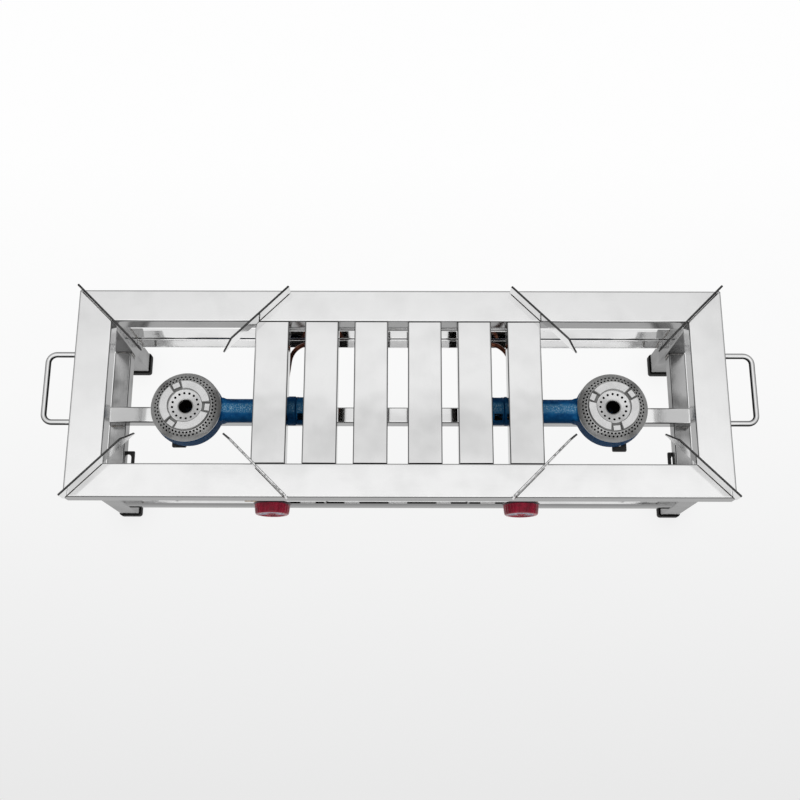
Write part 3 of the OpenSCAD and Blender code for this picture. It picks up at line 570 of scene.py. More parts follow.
def rounded(x0: float, y0: float, x1: float, y1: float, r: float, steps: int = 4,
            hold: float = 0.0) -> Outline:
    """A rectangle with round corners between two points.

    Args:
        x0: Left.
        y0: Bottom.
        x1: Right.
        y1: Top.
        r: Corner radius.
        steps: Stretches in each corner.
        hold: Distance from each corner of a point that keeps the flat beside it flat, 0 for none.

    Returns:
        A counter-clockwise outline.
    """
    hold = min(hold, ((x1 - x0) / 2 - r) * 0.8, ((y1 - y0) / 2 - r) * 0.8)
    points: Outline = []
    middles = ((x1 - r, y1 - r), (x0 + r, y1 - r), (x0 + r, y0 + r), (x1 - r, y0 + r))
    for start, (cx, cy) in zip((0, 90, 180, 270), middles):
        corner = arc(cx, cy, r, start, start + 90, steps)
        if hold > 0:
            a, b = math.radians(start), math.radians(start + 90)
            corner.insert(0, (corner[0][0] + hold * math.sin(a), corner[0][1] - hold * math.cos(a)))
            corner.append((corner[-1][0] - hold * math.sin(b), corner[-1][1] + hold * math.cos(b)))
        points += corner
    return points


def section(w: float, h: float, r: float) -> Outline:
    """Returns: A box tube's cross-section about its middle."""
    return rounded(-w / 2, -h / 2, w / 2, h / 2, r, 5, 0.35)


def rounded_path(corners: Sequence[Vector], radii: Sequence[float], steps: int = 12) -> Loop:
    """Rounds the corners of a route.

    Args:
        corners: The route's corners in metres.
        radii: The bend radius at each inner corner in millimetres.
        steps: Stretches in each bend.

    Returns:
        Points along the route.
    """
    path: Loop = [corners[0].copy()]
    for a, b, c, radius in zip(corners, corners[1:], corners[2:], radii):
        r = radius * MM
        before, after = (b - a).normalized(), (c - b).normalized()
        angle = before.angle(after)
        start = b - before * r * math.tan(angle / 2)
        middle = b + (after - before).normalized() * r / math.cos(angle / 2)
        for k in range(steps + 1):
            turn = angle * k / steps
            path.append(middle + (start - middle) * math.cos(turn) + before * r * math.sin(turn))
    path.append(corners[-1].copy())
    return path


@dataclass
class Shell:
    """A skin of faces under construction, in metres."""

    verts: Loop = field(default_factory=list)
    faces: list[tuple[int, ...]] = field(default_factory=list)

    def loops(self, rings: Sequence[Sequence[Vector]], capped: bool = True, closed: bool = False) -> "Shell":
        """Skins rings of equal length.

        Args:
            rings: The rings in order.
            capped: Whether the first and the last ring get a face.
            closed: Whether the last ring joins the first.

        Returns:
            This shell.
        """
        base, count, total = len(self.verts), len(rings[0]), len(rings)
        for ring in rings:
            self.verts.extend(Vector(v) for v in ring)
        for i in range(total if closed else total - 1):
            a, b = base + i * count, base + (i + 1) % total * count
            for j in range(count):
                k = (j + 1) % count
                self.faces.append((a + j, a + k, b + k, b + j))
        if capped:
            self.faces.append(tuple(base + j for j in reversed(range(count))))
            self.faces.append(tuple(base + (total - 1) * count + j for j in range(count)))
        return self

    def plate(self, outline: Outline, thick: float, holes: Iterable[Outline] = (), bevel: float = 0.3,
              at: Matrix = ORIGIN) -> "Shell":
        """Adds a plate with eased edges.

        Args:
            outline: Its counter-clockwise outline in millimetres.
            thick: Its thickness, upwards from the outline's plane.
            holes: Counter-clockwise outlines of holes.
            bevel: The ease on its edges.
            at: Where it goes, in metres.

        Returns:
            This shell.
        """
        rims: list[Loop] = []
        for k, shape in enumerate([outline, *holes]):
            inner = offset(shape, -bevel if k else bevel)
            levels = ((inner, 0.0), (shape, bevel), (shape, thick - bevel), (inner, thick))
            rings = [[at @ mm(x, y, z) for x, y in level] for level, z in levels]
            self.loops([ring[::-1] for ring in rings] if k else rings, capped=False)
            rims.append([Vector((x, y, 0)) for x, y in inner])
        points = [v for rim in rims for v in rim]
        for z, turn in ((0.0, True), (thick, False)):
            base = len(self.verts)
            self.verts.extend(at @ mm(v.x, v.y, z) for v in points)
            for tri in tessellate_polygon(rims):
                a, b, c = (points[i] for i in tri)
                up = (b - a).cross(c - a).z > 0
                self.faces.append(tuple(base + i for i in (tri if up != turn else reversed(tri))))
        return self

    def lathe(self, profile: Outline, steps: int, at: Matrix) -> "Shell":
        """Adds a closed turned shape.

        Args:
            profile: Radius and height pairs, closed on itself unless it starts and ends on the axis.
            steps: Points round each ring.
            at: Where it goes, in metres.

        Returns:
            This shell.
        """
        on_axis = profile[0][0] == profile[-1][0] == 0
        body = profile[1:-1] if on_axis else profile
        rings = [[at @ mm(x, y, z) for x, y in circle(r, steps)] for r, z in body]
        return self.loops(rings, capped=on_axis, closed=not on_axis)

    def sweep(self, path: Sequence[Vector], radius: float | Callable[[float], float], steps: int) -> "Shell":
        """Adds a round bar along a path.

        Args:
            path: Points in metres.
            radius: Radius in millimetres, or a function of the share of the way.
            steps: Points round each ring.

        Returns:
            This shell.
        """
        last = len(path) - 1
        heading = [(path[min(i + 1, last)] - path[max(i - 1, 0)]).normalized() for i in range(last + 1)]
        side = heading[0].orthogonal().normalized()
        rings = []
        for i, (point, t) in enumerate(zip(path, heading)):
            side = (side - t * side.dot(t)).normalized()
            up = t.cross(side)
            r = (radius(i / last) if callable(radius) else radius) * MM
            rings.append([point + (side * math.cos(a) + up * math.sin(a)) * r
                          for a in (2 * math.pi * j / steps for j in range(steps))])
        return self.loops(rings)

    def bead(self, start: Vector, end: Vector, r: float, seed: float) -> None:
        """Adds a straight weld bead with frozen ripples.

        Args:
            start: Its start in metres.
            end: Its end in metres.
            r: Its radius in millimetres.
            seed: What makes this bead differ from the next.
        """
        count = max(2, int((end - start).length / MM / 0.9))
        path = [start.lerp(end, k / count) for k in range(count)] + [end.copy()]
        total = len(path)

        def ripple(share: float) -> float:
            """Ripples the bead and thins its ends.

            Args:
                share: The share of the way.

            Returns:
                The radius there in millimetres.
            """
            wave = 0.10 * math.sin(share * total * 1.9)
            wave += 0.12 * noise.noise(Vector((share * total * 0.15, seed, 0)))
            return r * (1 + wave) * min(1.0, share * total / 2 + 0.35, (1 - share) * total / 2 + 0.35)

        self.sweep(path, ripple, BEAD_STEPS)

    def tube(self, low: Vector, high: Vector, axis: Axis, r: float = 2.4, is_open: bool = False,
             ends: Optional[Callable[[float, float, int], float]] = None) -> "Shell":
        """Adds a box tube that fills a box.

        Args:
            low: The box's lowest corner in metres.
            high: The box's highest corner in metres.
            axis: The tube's long direction.
            r: Corner radius in millimetres.
            is_open: Whether both ends are open.
            ends: Shift of an end towards the middle in metres, from the point's two
                cross-section shares (-1 to 1) and the end's sign.

        Returns:
            This shell.
        """
        n = axis.value
        across, over = (n + 1) % 3, (n + 2) % 3
        middle, size = (low + high) / 2, (high - low) / MM
        w, h = size[across], size[over]

        def ring(shape: Outline, sign: int, inset: float = 0.0) -> Loop:
            """Places a cross-section at one end.

            Args:
                shape: The cross-section in millimetres.
                sign: The end, 1 for the high one.
                inset: How far it is set back in millimetres.

            Returns:
                Its points.
            """
            made = []
            for u, v in shape:
                point = middle.copy()
                point[across] += u * MM
                point[over] += v * MM
                back = (ends(2 * u / w, 2 * v / h, sign) if ends else 0.0) + inset * MM
                point[n] = high[n] - back if sign > 0 else low[n] + back
                made.append(point)
            return made

        outer = section(w, h, r)
        if not is_open:
            eased = section(w - 0.5, h - 0.5, max(r - 0.25, 0.3))
            return self.loops([ring(eased, -1), ring(outer, -1, 0.25), ring(outer, 1, 0.25), ring(eased, 1)])
        inner = section(w - 2 * TUBE_WALL, h - 2 * TUBE_WALL, max(r - TUBE_WALL, 0.4))
        return self.loops([ring(inner, -1, TUBE_DEPTH), ring(inner, -1), ring(outer, -1), ring(outer, 1),
                           ring(inner, 1), ring(inner, 1, TUBE_DEPTH)])

    def made(self, name: str) -> bpy.types.Object:
        """Makes an object with this skin, not dressed and not in the frame yet.

        Args:
            name: The object's name.

        Returns:
            The object.
        """
        mesh = bpy.data.meshes.new(name)
        mesh.from_pydata([tuple(v) for v in self.verts], [], self.faces)
        mesh.update()
        piece = bpy.data.objects.new(name, mesh)
        bpy.context.scene.collection.objects.link(piece)
        return piece

    def build(self, name: str, finish: Finish, body: str = "stand", instead: Sequence[str] = (),
              sharp: float = 32.0, slot: Optional[str] = None) -> bpy.types.Object:
        """Makes the object and hangs it in the frame; see dress for Args and Returns."""
        return dress(self.made(name), finish, body, instead, sharp)


def coat(piece: bpy.types.Object, finish: Finish) -> None:
    """Gives a piece one finish in place of those it has."""
    piece.data.materials.clear()
    piece.data.materials.append(finish.material())


def smooth(piece: bpy.types.Object, sharp: float) -> None:
    """Shades a piece smooth but for edges over some degrees."""
    piece.data.shade_smooth()
    piece.data.set_sharp_from_angle(angle=math.radians(sharp))


def dress(piece: bpy.types.Object, finish: Optional[Finish], body: str, instead: Sequence[str] = (),
          sharp: float = 32.0) -> bpy.types.Object:
    """Smooths a piece, gives it a finish and hangs it in the frame.

    Args:
        piece: The object.
        finish: Its finish, or None to keep the finishes that it has.
        body: The body it moves with.
        instead: CAD nodes that it stands for.
        sharp: Edges over this many degrees stay sharp.

    Returns:
        The same object.
    """
    if finish is not None:
        coat(piece, finish)
    smooth(piece, sharp)
    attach(piece, body)
    if instead:
        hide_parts(*instead)
    return piece


def settle(piece: bpy.types.Object) -> None:
    """Bakes a piece's modifiers into its mesh.

    Args:
        piece: The object.
    """
    old = piece.data
    mesh = bpy.data.meshes.new_from_object(piece.evaluated_get(bpy.context.evaluated_depsgraph_get()))
    piece.modifiers.clear()
    piece.data = mesh
    bpy.data.meshes.remove(old)


def face_outwards(piece: bpy.types.Object) -> None:
    """Turns every face of a piece outwards.

    Args:
        piece: The object.
    """
    work = bmesh.new()
    work.from_mesh(piece.data)
    bmesh.ops.recalc_face_normals(work, faces=work.faces)
    work.to_mesh(piece.data)
    work.free()


@dataclass
class TopFrame:
    """The four mitred top rails, their weld seams, the slats and the flat bars under them."""

    end_w: float = 49.0
    long_w: float = 47.0
    seam: float = 0.12
    slat_count: int = 6
    slat_gap: float = 0.5
    front_belly: float = 2.2
    back_belly: float = 0.7
    wander: float = 0.35
    ledge_w: float = 20.0
    scale_t: float = 0.3
    weld_r: float = 1.6

    def build(self) -> None:
        """Builds every piece of the top frame."""
        self.rail("top_rail_front", Axis.X, self.end_w, -1)
        self.rail("top_rail_back", Axis.X, self.end_w, 1)
        for side in Side:
            self.rail(f"top_rail_{side.word}", Axis.Y, self.long_w, side.value)
        for i in range(1, self.slat_count + 1):
            self.slat(i)
        self.ledges()
        self.seams()

    def rail(self, node: str, axis: Axis, neighbour: float, out: int) -> None:
        """Builds one mitred rail.

        Args:
            node: Its CAD node.
            axis: Its long direction.
            neighbour: The width of the rail that it meets.
            out: The sign of its outer face.
        """
        low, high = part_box(node)

        def mitre(u: float, v: float, sign: int) -> float:
            """Cuts a mitre; both ends are cut alike.

            Args:
                u: The point's first cross-section share.
                v: Its second one.
                sign: The end; not used, since both ends are cut alike.

            Returns:
                How far the end is cut back there.
            """
            inner = (1 - (u if axis is Axis.X else v) * out) / 2
            return (inner * neighbour + self.seam) * MM

        finish = TUBE_X if axis is Axis.X else TUBE_Y
        Shell().tube(low, high, axis, ends=mitre).build(f"{node}_tube", finish, instead=[node])

    def slat(self, i: int) -> None:
        """Builds one slat, whose hand-cut ends leave a lens-shaped gap at the rails.

        Args:
            i: Its number, from the left.
        """
        low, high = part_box(f"slat_{i}")

        def cut(u: float, v: float, sign: int) -> float:
            """Cuts an end by hand.

            Args:
                u: The point's first cross-section share.
                v: Its second one.
                sign: The end.

            Returns:
                How far the end is cut back there.
            """
            top = max(0.0, min(1.0, (u + 1) / 2))
            belly = self.front_belly if sign < 0 else self.back_belly
            wander = self.wander * noise.noise(Vector((v * 1.3, i * 3.1, sign * 5.0)))
            return (self.slat_gap + top * (belly * (1 - v * v) + wander)) * MM

        Shell().tube(low, high, Axis.Y, ends=cut).build(f"slat_{i}_tube", SLAT, instead=[f"slat_{i}"])

    def ledges(self) -> None:
        """Builds the two flat bars under the slats' ends, with a dark plate painted on them under each slat
        as the slats' shadow.
        """
        low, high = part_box("slat_ledges")
        bars, scale = Shell(), Shell()
        for y in (low.y, high.y - self.ledge_w * MM):
            near, far = Vector((low.x, y, low.z)), Vector((high.x, y + self.ledge_w * MM, high.z))
            bars.tube(near + mm(0, 0, self.scale_t), far, Axis.X, r=0.6)
            # Each slat gets a painted shadow: a thin near-black plate on the ledge under it.
            for i in range(1, self.slat_count + 1):
                slat_low, slat_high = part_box(f"slat_{i}")
                start = Vector((slat_low.x, y, low.z)) + mm(0.5, 0.5, 0)
                size = (Vector((slat_high.x, far.y, low.z)) - mm(0.5, 0.5, 0) - start) / MM
                scale.plate(rounded(0, 0, size.x, size.y, 2.0), self.scale_t, bevel=0.1,
                            at=Matrix.Translation(start))
        bars.build("slat_ledge_bars", LEDGE, instead=["slat_ledges"])
        scale.build("slat_ledge_weld_scale", SLAT_SHADOW, instead=["slat_ledges"])

    def seams(self) -> None:
        """Builds the weld beads under the mitres."""
        welds = Shell()
        low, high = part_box("top_rail_front")
        back_low, back_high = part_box("top_rail_back")
        for side in Side:
            x = high.x if side is Side.RIGHT else low.x
            inner = x - side.value * self.end_w * MM
            for y0, y1 in ((low.y, high.y), (back_high.y, back_low.y)):
                start = Vector((x - side.value * 6 * MM, y0 + (y1 - y0) * 0.12, low.z))
                end = Vector((inner + side.value * 4 * MM, y0 + (y1 - y0) * 0.92, low.z))
                welds.bead(start, end, self.weld_r, x + y0)
        welds.build("mitre_welds", WELD)


@dataclass
class PotSupports:
    """Eight strips on edge, welded on the mitres and on the rails' corners."""

    thick: float = 3.0
    bevel: float = 0.6
    height: float = 22.5
    taper: float = 19.0
    corner_r: float = 1.2
    inner_weld: float = 62.0
    back_weld: float = 66.0
    front_weld: float = 69.0
    weld_r: float = 0.65

    def build(self) -> None:
        """Builds every strip with the thin welds at its foot."""
        welds = Shell()
        for side in Side:
            for corner in Corner:
                for row in (Row.BACK, Row.FRONT):
                    self.strip(side, corner, row, welds)
        # The foot welds' near-black finish is a painted contact shadow.
        welds.build("support_foot_welds", FOOT_SHADOW_WELD)

    def strip(self, side: Side, corner: Corner, row: Row, welds: Shell) -> None:
        """Builds one strip.

        Args:
            side: Its half of the stove.
            corner: Its corner of the well.
            row: Front or back.
            welds: Where its welds go.
        """
        node = f"support_{side.word}_{corner.value}_{row.value}"
        low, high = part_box(node)
        half = self.thick / 2 * math.sin(math.radians(45)) * MM
        xs, ys = [low.x + half, high.x - half], [low.y + half, high.y - half]
        if (corner is Corner.OUTER) != (side is Side.RIGHT):
            xs.reverse()
        if row is Row.FRONT:
            ys.reverse()
        tip, end = Vector((xs[0], ys[0], low.z)), Vector((xs[1], ys[1], low.z))
        length = (end - tip).length / MM
        outline = [(0, 0), (length, 0)]
        r = self.corner_r
        outline += arc(length - r, self.height - r, r, 0, 90, 3)
        outline += [(self.taper + 1.5, self.height), (self.taper * 0.96, self.height - 0.6)]
        outline += [(1.2, 1.9), (0.2, 0.8)]
        along = (end - tip).normalized()
        across = along.cross(UP)
        at = Matrix((along, UP, across)).transposed().to_4x4()
        at.translation = tip - across * (self.thick / 2 * MM)
        # Only the inner front strips keep a bright top edge.
        finish, welded = DARK_STRIP, self.inner_weld
        if corner is Corner.OUTER:
            welded = self.back_weld if row is Row.BACK else self.front_weld
        elif row is Row.FRONT:
            finish = STRIP
        plate = Shell().plate(outline, self.thick, bevel=self.bevel, at=at)
        plate.build(f"{node}_strip", finish, instead=[node])
        for hand in (1, -1):
            aside = across * hand * (self.thick / 2 + 0.1) * MM
            a = tip + along * (length - welded) * MM + aside + UP * 0.2 * MM
            welds.bead(a, a + along * (welded - 3) * MM, self.weld_r, length + hand)


@dataclass
class LegSet:
    """Four square legs in black rubber cups, with the welds at their tops."""

    wall: float = 2.0
    floor: float = 3.0
    weld_r: float = 1.3

    def build(self) -> None:
        """Builds the legs, feet and welds."""
        welds = Shell()
        for row in Row:
            for side in Side:
                node = f"leg_{row.value}_{side.word}"
                low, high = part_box(node)
                Shell().tube(low, high, Axis.Z).build(f"{node}_tube", TUBE_Z, instead=[node])
                self.foot(f"foot_{row.value}_{side.word}")
                self.weld_top(low, high, welds)
        welds.build("leg_top_welds", WELD)

    def foot(self, node: str) -> None:
        """Builds one rubber cup, from its sole up its outside and down its inside.

        Args:
            node: Its CAD node.
        """
        low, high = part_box(node)
        middle = (low + high) / 2
        w, h = (high.x - low.x) / MM, (high.z - low.z) / MM
        stages = [
            (w - 3.0, 0.0, 3.0), (w - 1.0, 0.35, 4.0), (w - 0.1, 1.6, 4.4), (w, h * 0.55, 4.4),
            (w - 0.2, h - 1.0, 4.3), (w - 1.0, h - 0.1, 4.0), (w - 2.6, h, 3.4),
            (w - 2 * self.wall + 0.1, h - 0.7, 2.5), (w - 2 * self.wall + 0.05, self.floor, 2.4),
        ]
        middle.z = low.z
        rings = [[middle + mm(x, y, z) for x, y in section(size, size, r)] for size, z, r in stages]
        Shell().loops(rings).build(f"{node}_cup", RUBBER, instead=[node], sharp=50)

    def weld_top(self, low: Vector, high: Vector, welds: Shell) -> None:
        """Adds the bead round a leg's top.

        Args:
            low: The leg's lowest corner.
            high: The leg's highest corner.
            welds: Where the bead goes.
        """
        e, z = 0.3 * MM, high.z - 0.5 * MM
        corners = [Vector((x, y, z)) for x, y in ((low.x - e, low.y - e), (high.x + e, low.y - e),
                                                  (high.x + e, high.y + e), (low.x - e, high.y + e))]
        for a, b in zip(corners, corners[1:] + corners[:1]):
            welds.bead(a.lerp(b, 0.08), a.lerp(b, 0.92), self.weld_r, a.x + b.y)


@dataclass
class LowerFrame:
    """The lower side rails, the bent angles, the cross bar, the slotted corner plates and straps."""

    angle_t: float = 2.5
    fillet: float = 3.0
    edge_r: float = 1.2
    hole_r: float = 4.0
    hole_edge: float = 12.0
    slot_r: float = 5.0
    slot_edge: float = 10.0
    rail_weld_r: float = 1.2
    bar_weld_r: float = 1.4
    angle_weld_r: float = 1.1

    def build(self) -> None:
        """Builds every lower piece."""
        for side in Side:
            node = f"lower_rail_{side.word}"
            low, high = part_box(node)
            # The lower side rails are painted darker, as shade.
            Shell().tube(low, high, Axis.Y).build(f"{node}_tube", SHADED_TUBE_Y, instead=[node])
            self.flat(f"slotted_bracket_{side.word}", 1.5, True)
            self.flat(f"burner_strap_{side.word}", 2.0, False)
        self.angle("lower_rail_front", FRONT_ANGLE, 1)
        self.angle("lower_rail_back", BACK_ANGLE, -1)
        low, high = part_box("burner_bar")
        Shell().tube(low, high, Axis.X, is_open=True).build("burner_bar_tube", BAR, instead=["burner_bar"])
        self.welds()

    def angle(self, node: str, finish: Finish, turn: int) -> None:
        """Builds one bent angle.

        Args:
            node: Its CAD node.
            finish: Its finish.
            turn: 1 if its upright leg is in front, -1 if it is at the back.
        """
        low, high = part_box(node)
        t, f, e = self.angle_t, self.fillet, self.edge_r
        w, h = (high.y - low.y) / MM, (high.z - low.z) / MM
        shape = arc(e, e, e, 180, 270, 4) + [(w, 0), (w, t)]
        shape += arc(t + f, t + f, f, 180, 270, 6)[::-1] + [(t, h), (0, h)]
        x, face = (low.x, low.y) if turn > 0 else (high.x, high.y)
        at = Matrix(((0, 0, turn, x), (turn, 0, 0, face), (0, 1, 0, low.z), (0, 0, 0, 1)))
        shell = Shell().plate(shape, (high.x - low.x) / MM, bevel=0.12, at=at)
        shell.build(f"{node}_angle", finish, instead=[node], sharp=25)

    def flat(self, node: str, corner: float, is_slotted: bool) -> None:
        """Builds a slotted corner plate or a burner strap with its end holes.

        Args:
            node: Its CAD node.
            corner: Its corner radius.
            is_slotted: Whether it has one long slot instead of two round holes.
        """
        low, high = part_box(node)
        w, l, t = (high.x - low.x) / MM, (high.y - low.y) / MM, (high.z - low.z) / MM
        holes = [circle(self.hole_r, 20, w / 2, y) for y in (self.hole_edge, l - self.hole_edge)]
        if is_slotted:
            r, edge = self.slot_r, self.slot_edge
            holes = [arc(w / 2, l - edge, r, 0, 180, 10) + arc(w / 2, edge, r, 180, 360, 10)]
        shell = Shell().plate(rounded(0, 0, w, l, corner), t, holes, 0.4, Matrix.Translation(low))
        shell.build(f"{node}_plate", BLACK, instead=[node])

    def welds(self) -> None:
        """Adds the beads where rails, angles and the bar meet their carriers."""
        shell = Shell()
        bar_low, bar_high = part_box("burner_bar")
        for side in Side:
            low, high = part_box(f"lower_rail_{side.word}")
            inner = low.x if side is Side.RIGHT else high.x
            x0, x1 = low.x + 2 * MM, high.x - 2 * MM
            for y in (low.y + 0.4 * MM, high.y - 0.4 * MM):
                for a, b in (((inner, y, low.z + 2 * MM), (inner, y, high.z - 2 * MM)),
                             ((x0, y, high.z), (x1, y, high.z)), ((x0, y, low.z), (x1, y, low.z))):
                    shell.bead(Vector(a), Vector(b), self.rail_weld_r, y + a[2])
            for y in (bar_low.y, bar_high.y):
                z = high.z + 0.2 * MM
                shell.bead(Vector((x0, y, z)), Vector((high.x - 3 * MM, y, z)), self.bar_weld_r, y + x0)
            for row, sign in ((Row.FRONT, 1), (Row.BACK, -1)):
                a_low, a_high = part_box(f"lower_rail_{row.value}")
                x = a_low.x if side is Side.LEFT else a_high.x
                y = (a_low.y if sign > 0 else a_high.y) + sign * 2.6 * MM
                start, end = Vector((x, y, a_low.z + 3 * MM)), Vector((x, y, a_high.z - 3 * MM))
                shell.bead(start, end, self.angle_weld_r, x * sign)
        shell.build("lower_frame_welds", WELD)


@dataclass
class Burner:
    """One cast burner: bowl and mixing tube, air shutter, loose cap with its flame ports."""

    side: Side
    cap_turn: float
    bowl_d: float = 103.0
    floor_t: float = 4.5
    spigot_x: float = 128.0
    spigot_end: float = 152.6
    spigot_r: float = 18.9
    bore_r: float = 15.0
    shutter_t: float = 1.8
    ring_edge: float = 0.4
    windows: int = 3
    window_x0: float = 137.5
    window_w: float = 12.0
    window_turn: float = 41.0
    ports: int = 48
    port_d: float = 3.1
    port_lean: float = 38.0
    inner_ports: int = 16
    hole_r: float = 10.0
    step: float = 4.5
    arcs: int = 3
    voxel: float = 1.3
    middle: Vector = field(init=False)
    cap_base: float = field(init=False)
    axis_z: float = field(init=False)

    def build(self) -> None:
        """Builds the burner's pieces."""
        low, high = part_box(f"burner_cap_{self.side.word}")
        self.middle = (low + high) / 2
        self.cap_base = low.z + 6 * MM
        ring_low, ring_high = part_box(f"air_shutter_{self.side.word}")
        self.axis_z = (ring_low.z + ring_high.z) / 2
        self.casting()
        self.shutter(ring_low, ring_high)
        self.cap((high.z - self.cap_base) / MM)

    def along(self, outward: float) -> Vector:
        """Returns: The point on the mixing tube's axis at a distance from the stove's middle, in mm."""
        return Vector((self.side.value * outward * MM, self.middle.y, self.axis_z))

    def turned(self, shell: Shell, profile: Outline) -> None:
        """Turns a profile round the mixing tube's axis.

        Args:
            shell: Where it goes.
            profile: Radius and distance from the stove's middle in millimetres.
        """
        shell.loops([[self.along(x) + mm(0, y, z) for y, z in circle(r, 64)] for r, x in profile])

    def bowl(self, height: float) -> Outline:
        """The bowl's profile, up its outside and down its inside.

        Args:
            height: Its height in millimetres.

        Returns:
            Radius and height pairs from axis to axis.
        """
        r = self.bowl_d / 2
        angles = [math.radians(a) for a in range(0, 91, 9)]
        outer = [(r - 13 + 13.6 * math.sin(a), 12 * (1 - math.cos(a))) for a in angles]
        inner = [(r - 16 + 10.5 * math.sin(a), self.floor_t + 14 * (1 - math.cos(a))) for a in angles[-2::-1]]
        rim = [(r, height - 0.8), (r - 0.8, height), (r - 5.5, height), (r - 5.5, 19.0)]
        return [(0.0, 0.0)] + outer + rim + inner + [(0.0, self.floor_t)]

    def casting(self) -> None:
        """Builds the painted casting as one blended skin, painted near black inside its bowl as shade."""
        node = f"burner_body_{self.side.word}"
        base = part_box(f"burner_strap_{self.side.word}")[1].z
        at = Matrix.Translation(Vector((self.middle.x, self.middle.y, base)))
        r = self.bowl_d / 2
        far = abs(self.middle.x) / MM - r + 6
        shell = Shell().lathe(self.bowl((self.cap_base - base) / MM), 96, at)
        self.turned(shell, [(17.3, 150.0), (17.5, 155.0), (17.5, far - 30), (17.6, far - 16), (18.0, far - 6),
                            (18.4, far + 1)])
        self.turned(shell, [(20.6, 152.1), (21.5, 153.0), (21.5, 165.0), (20.2, 166.6)])
        for sign in (-1, 1):
            self.cheek(shell, far, sign)
        shell.lathe([(0, 0), (4.0, 0), (4.0, 22.0), (3.2, 23.0), (0, 23.0)], 24, at)
        piece = shell.made(f"{node}_casting")
        blend = piece.modifiers.new("blend", "REMESH")
        blend.mode, blend.voxel_size = "VOXEL", self.voxel * MM
        ease = piece.modifiers.new("ease", "SMOOTH")
        ease.factor, ease.iterations = 0.6, 4
        settle(piece)
        dress(piece, BLUE, "stand", [node], 60)
        # Painted shade: the inside of the bowl gets the near-black finish.
        piece.data.materials.append(SOOT_AND_SHADE.material())
        for face in piece.data.polygons:
            # The bowl's floor looks up and its wall looks at the bowl's axis.
            inwards, normal = self.middle - face.center, face.normal
            reach = math.hypot(inwards.x, inwards.y) / MM
            if reach < r - 3 and face.center.z > base + 3 * MM and normal.z > -0.5:
                leans_in = (inwards.x * normal.x + inwards.y * normal.y) / MM > 0.3 * reach
                face.material_index = int(normal.z > 0.6 or leans_in)

    def cheek(self, shell: Shell, far: float, sign: int) -> None:
        """Adds the web that flares from the mixing tube to the bowl on one side.

        Args:
            shell: Where it goes.
            far: Where the tube enters the bowl, in millimetres from the stove's middle.
            sign: Front or back.
        """
        outline = [(-10, 0), (18, 0), (18, 27), (9, 25.0), (4, 21.4), (-1, 18.6), (-10, 16.6)]
        points = [((far + x) * self.side.value, y * sign) for x, y in outline]
        if self.side.value * sign < 0:
            points.reverse()
        at = Matrix.Translation(Vector((0, self.middle.y, self.axis_z - 14 * MM)))
        shell.plate(points, 28, bevel=3.0, at=at)

    def windowed(self, r0: float, r1: float, x0: float, x1: float) -> Shell:
        """Skins a ring round the mixing tube with windows.

        Args:
            r0: Inner radius.
            r1: Outer radius.
            x0: The end nearer the stove's middle, in millimetres from it.
            x1: The other end.

        Returns:
            The ring's shell.
        """
        half = math.degrees(math.asin(self.window_w / 2 / r1))
        pitch = 360 // self.windows
        angles: list[float] = []
        for k in range(self.windows):
            mid = self.window_turn + pitch * k
            angles += [mid - half, mid - half / 2, mid, mid + half / 2, mid + half]
            angles += [mid + half + (pitch - 2 * half) * j / 12 for j in range(1, 12)]
        stations = [x0, x0 + 0.5, self.window_x0, self.window_x0 + self.window_w, x1 - 0.5, x1]
        shell = Shell()
        total, last = len(angles), len(stations) - 1
        for layer, r in enumerate((r1, r0)):
            for i, x in enumerate(stations):
                eased = r - self.ring_edge if layer == 0 and i in (0, last) else r
                for a in map(math.radians, angles):
                    shell.verts.append(self.along(x) + mm(0, -eased * math.sin(a), eased * math.cos(a)))

        def face(*corners: tuple[int, int, int]) -> None:
            """Adds a face between points given as layer, station and angle."""
            shell.faces.append(tuple((layer * (last + 1) + i) * total + j for layer, i, j in corners))

        def wall(i: int, j: int, i2: int, j2: int) -> None:
            """Adds a face between the outer and the inner skin."""
            face((0, i, j), (0, i2, j2), (1, i2, j2), (1, i, j))

        for i in range(last):
            for j in range(total):
                k = (j + 1) % total
                # A window takes the third stretch of the way and the first 4 of its 16 stretches round.
                if i != 2 or j % 16 >= 4:
                    for layer in (0, 1):
                        face((layer, i, j), (layer, i, k), (layer, i + 1, k), (layer, i + 1, j))
                    continue
                wall(i, j, i, k)
                wall(i + 1, j, i + 1, k)
                if j % 16 == 0:
                    wall(i, j, i + 1, j)
                if j % 16 == 3:
                    wall(i, k, i + 1, k)
        for i in (0, last):
            for j in range(total):
                wall(i, j, i, (j + 1) % total)
        return shell

    def shutter(self, low: Vector, high: Vector) -> None:
        """Builds the air shutter and the hollow end of the mixing tube inside it.

        Args:
            low: The CAD ring's lowest corner.
            high: The CAD ring's highest corner.
        """
        word = self.side.word
        r = (high.z - low.z) / 2 / MM
        x0, x1 = sorted((abs(low.x) / MM, abs(high.x) / MM))
        ring = self.windowed(r - self.shutter_t, r, x0, x1)
        piece = ring.build(f"air_shutter_{word}_ring", BLUE, f"shutter_{word}", [f"air_shutter_{word}"], 40)
        face_outwards(piece)
        end = self.windowed(self.bore_r, self.spigot_r, self.spigot_x, self.spigot_end)
        piece = end.build(f"burner_body_{word}_end", BLUE, "stand", [f"burner_body_{word}"], 40)
        face_outwards(piece)
        # Painted shade: the bore inside the windows gets the near-black finish.
        piece.data.materials.append(SOOT_AND_SHADE.material())
        for face in piece.data.polygons:
            from_axis = math.hypot(face.center.y - self.middle.y, face.center.z - self.axis_z) / MM
            face.material_index = int(from_axis < self.spigot_r - 1)

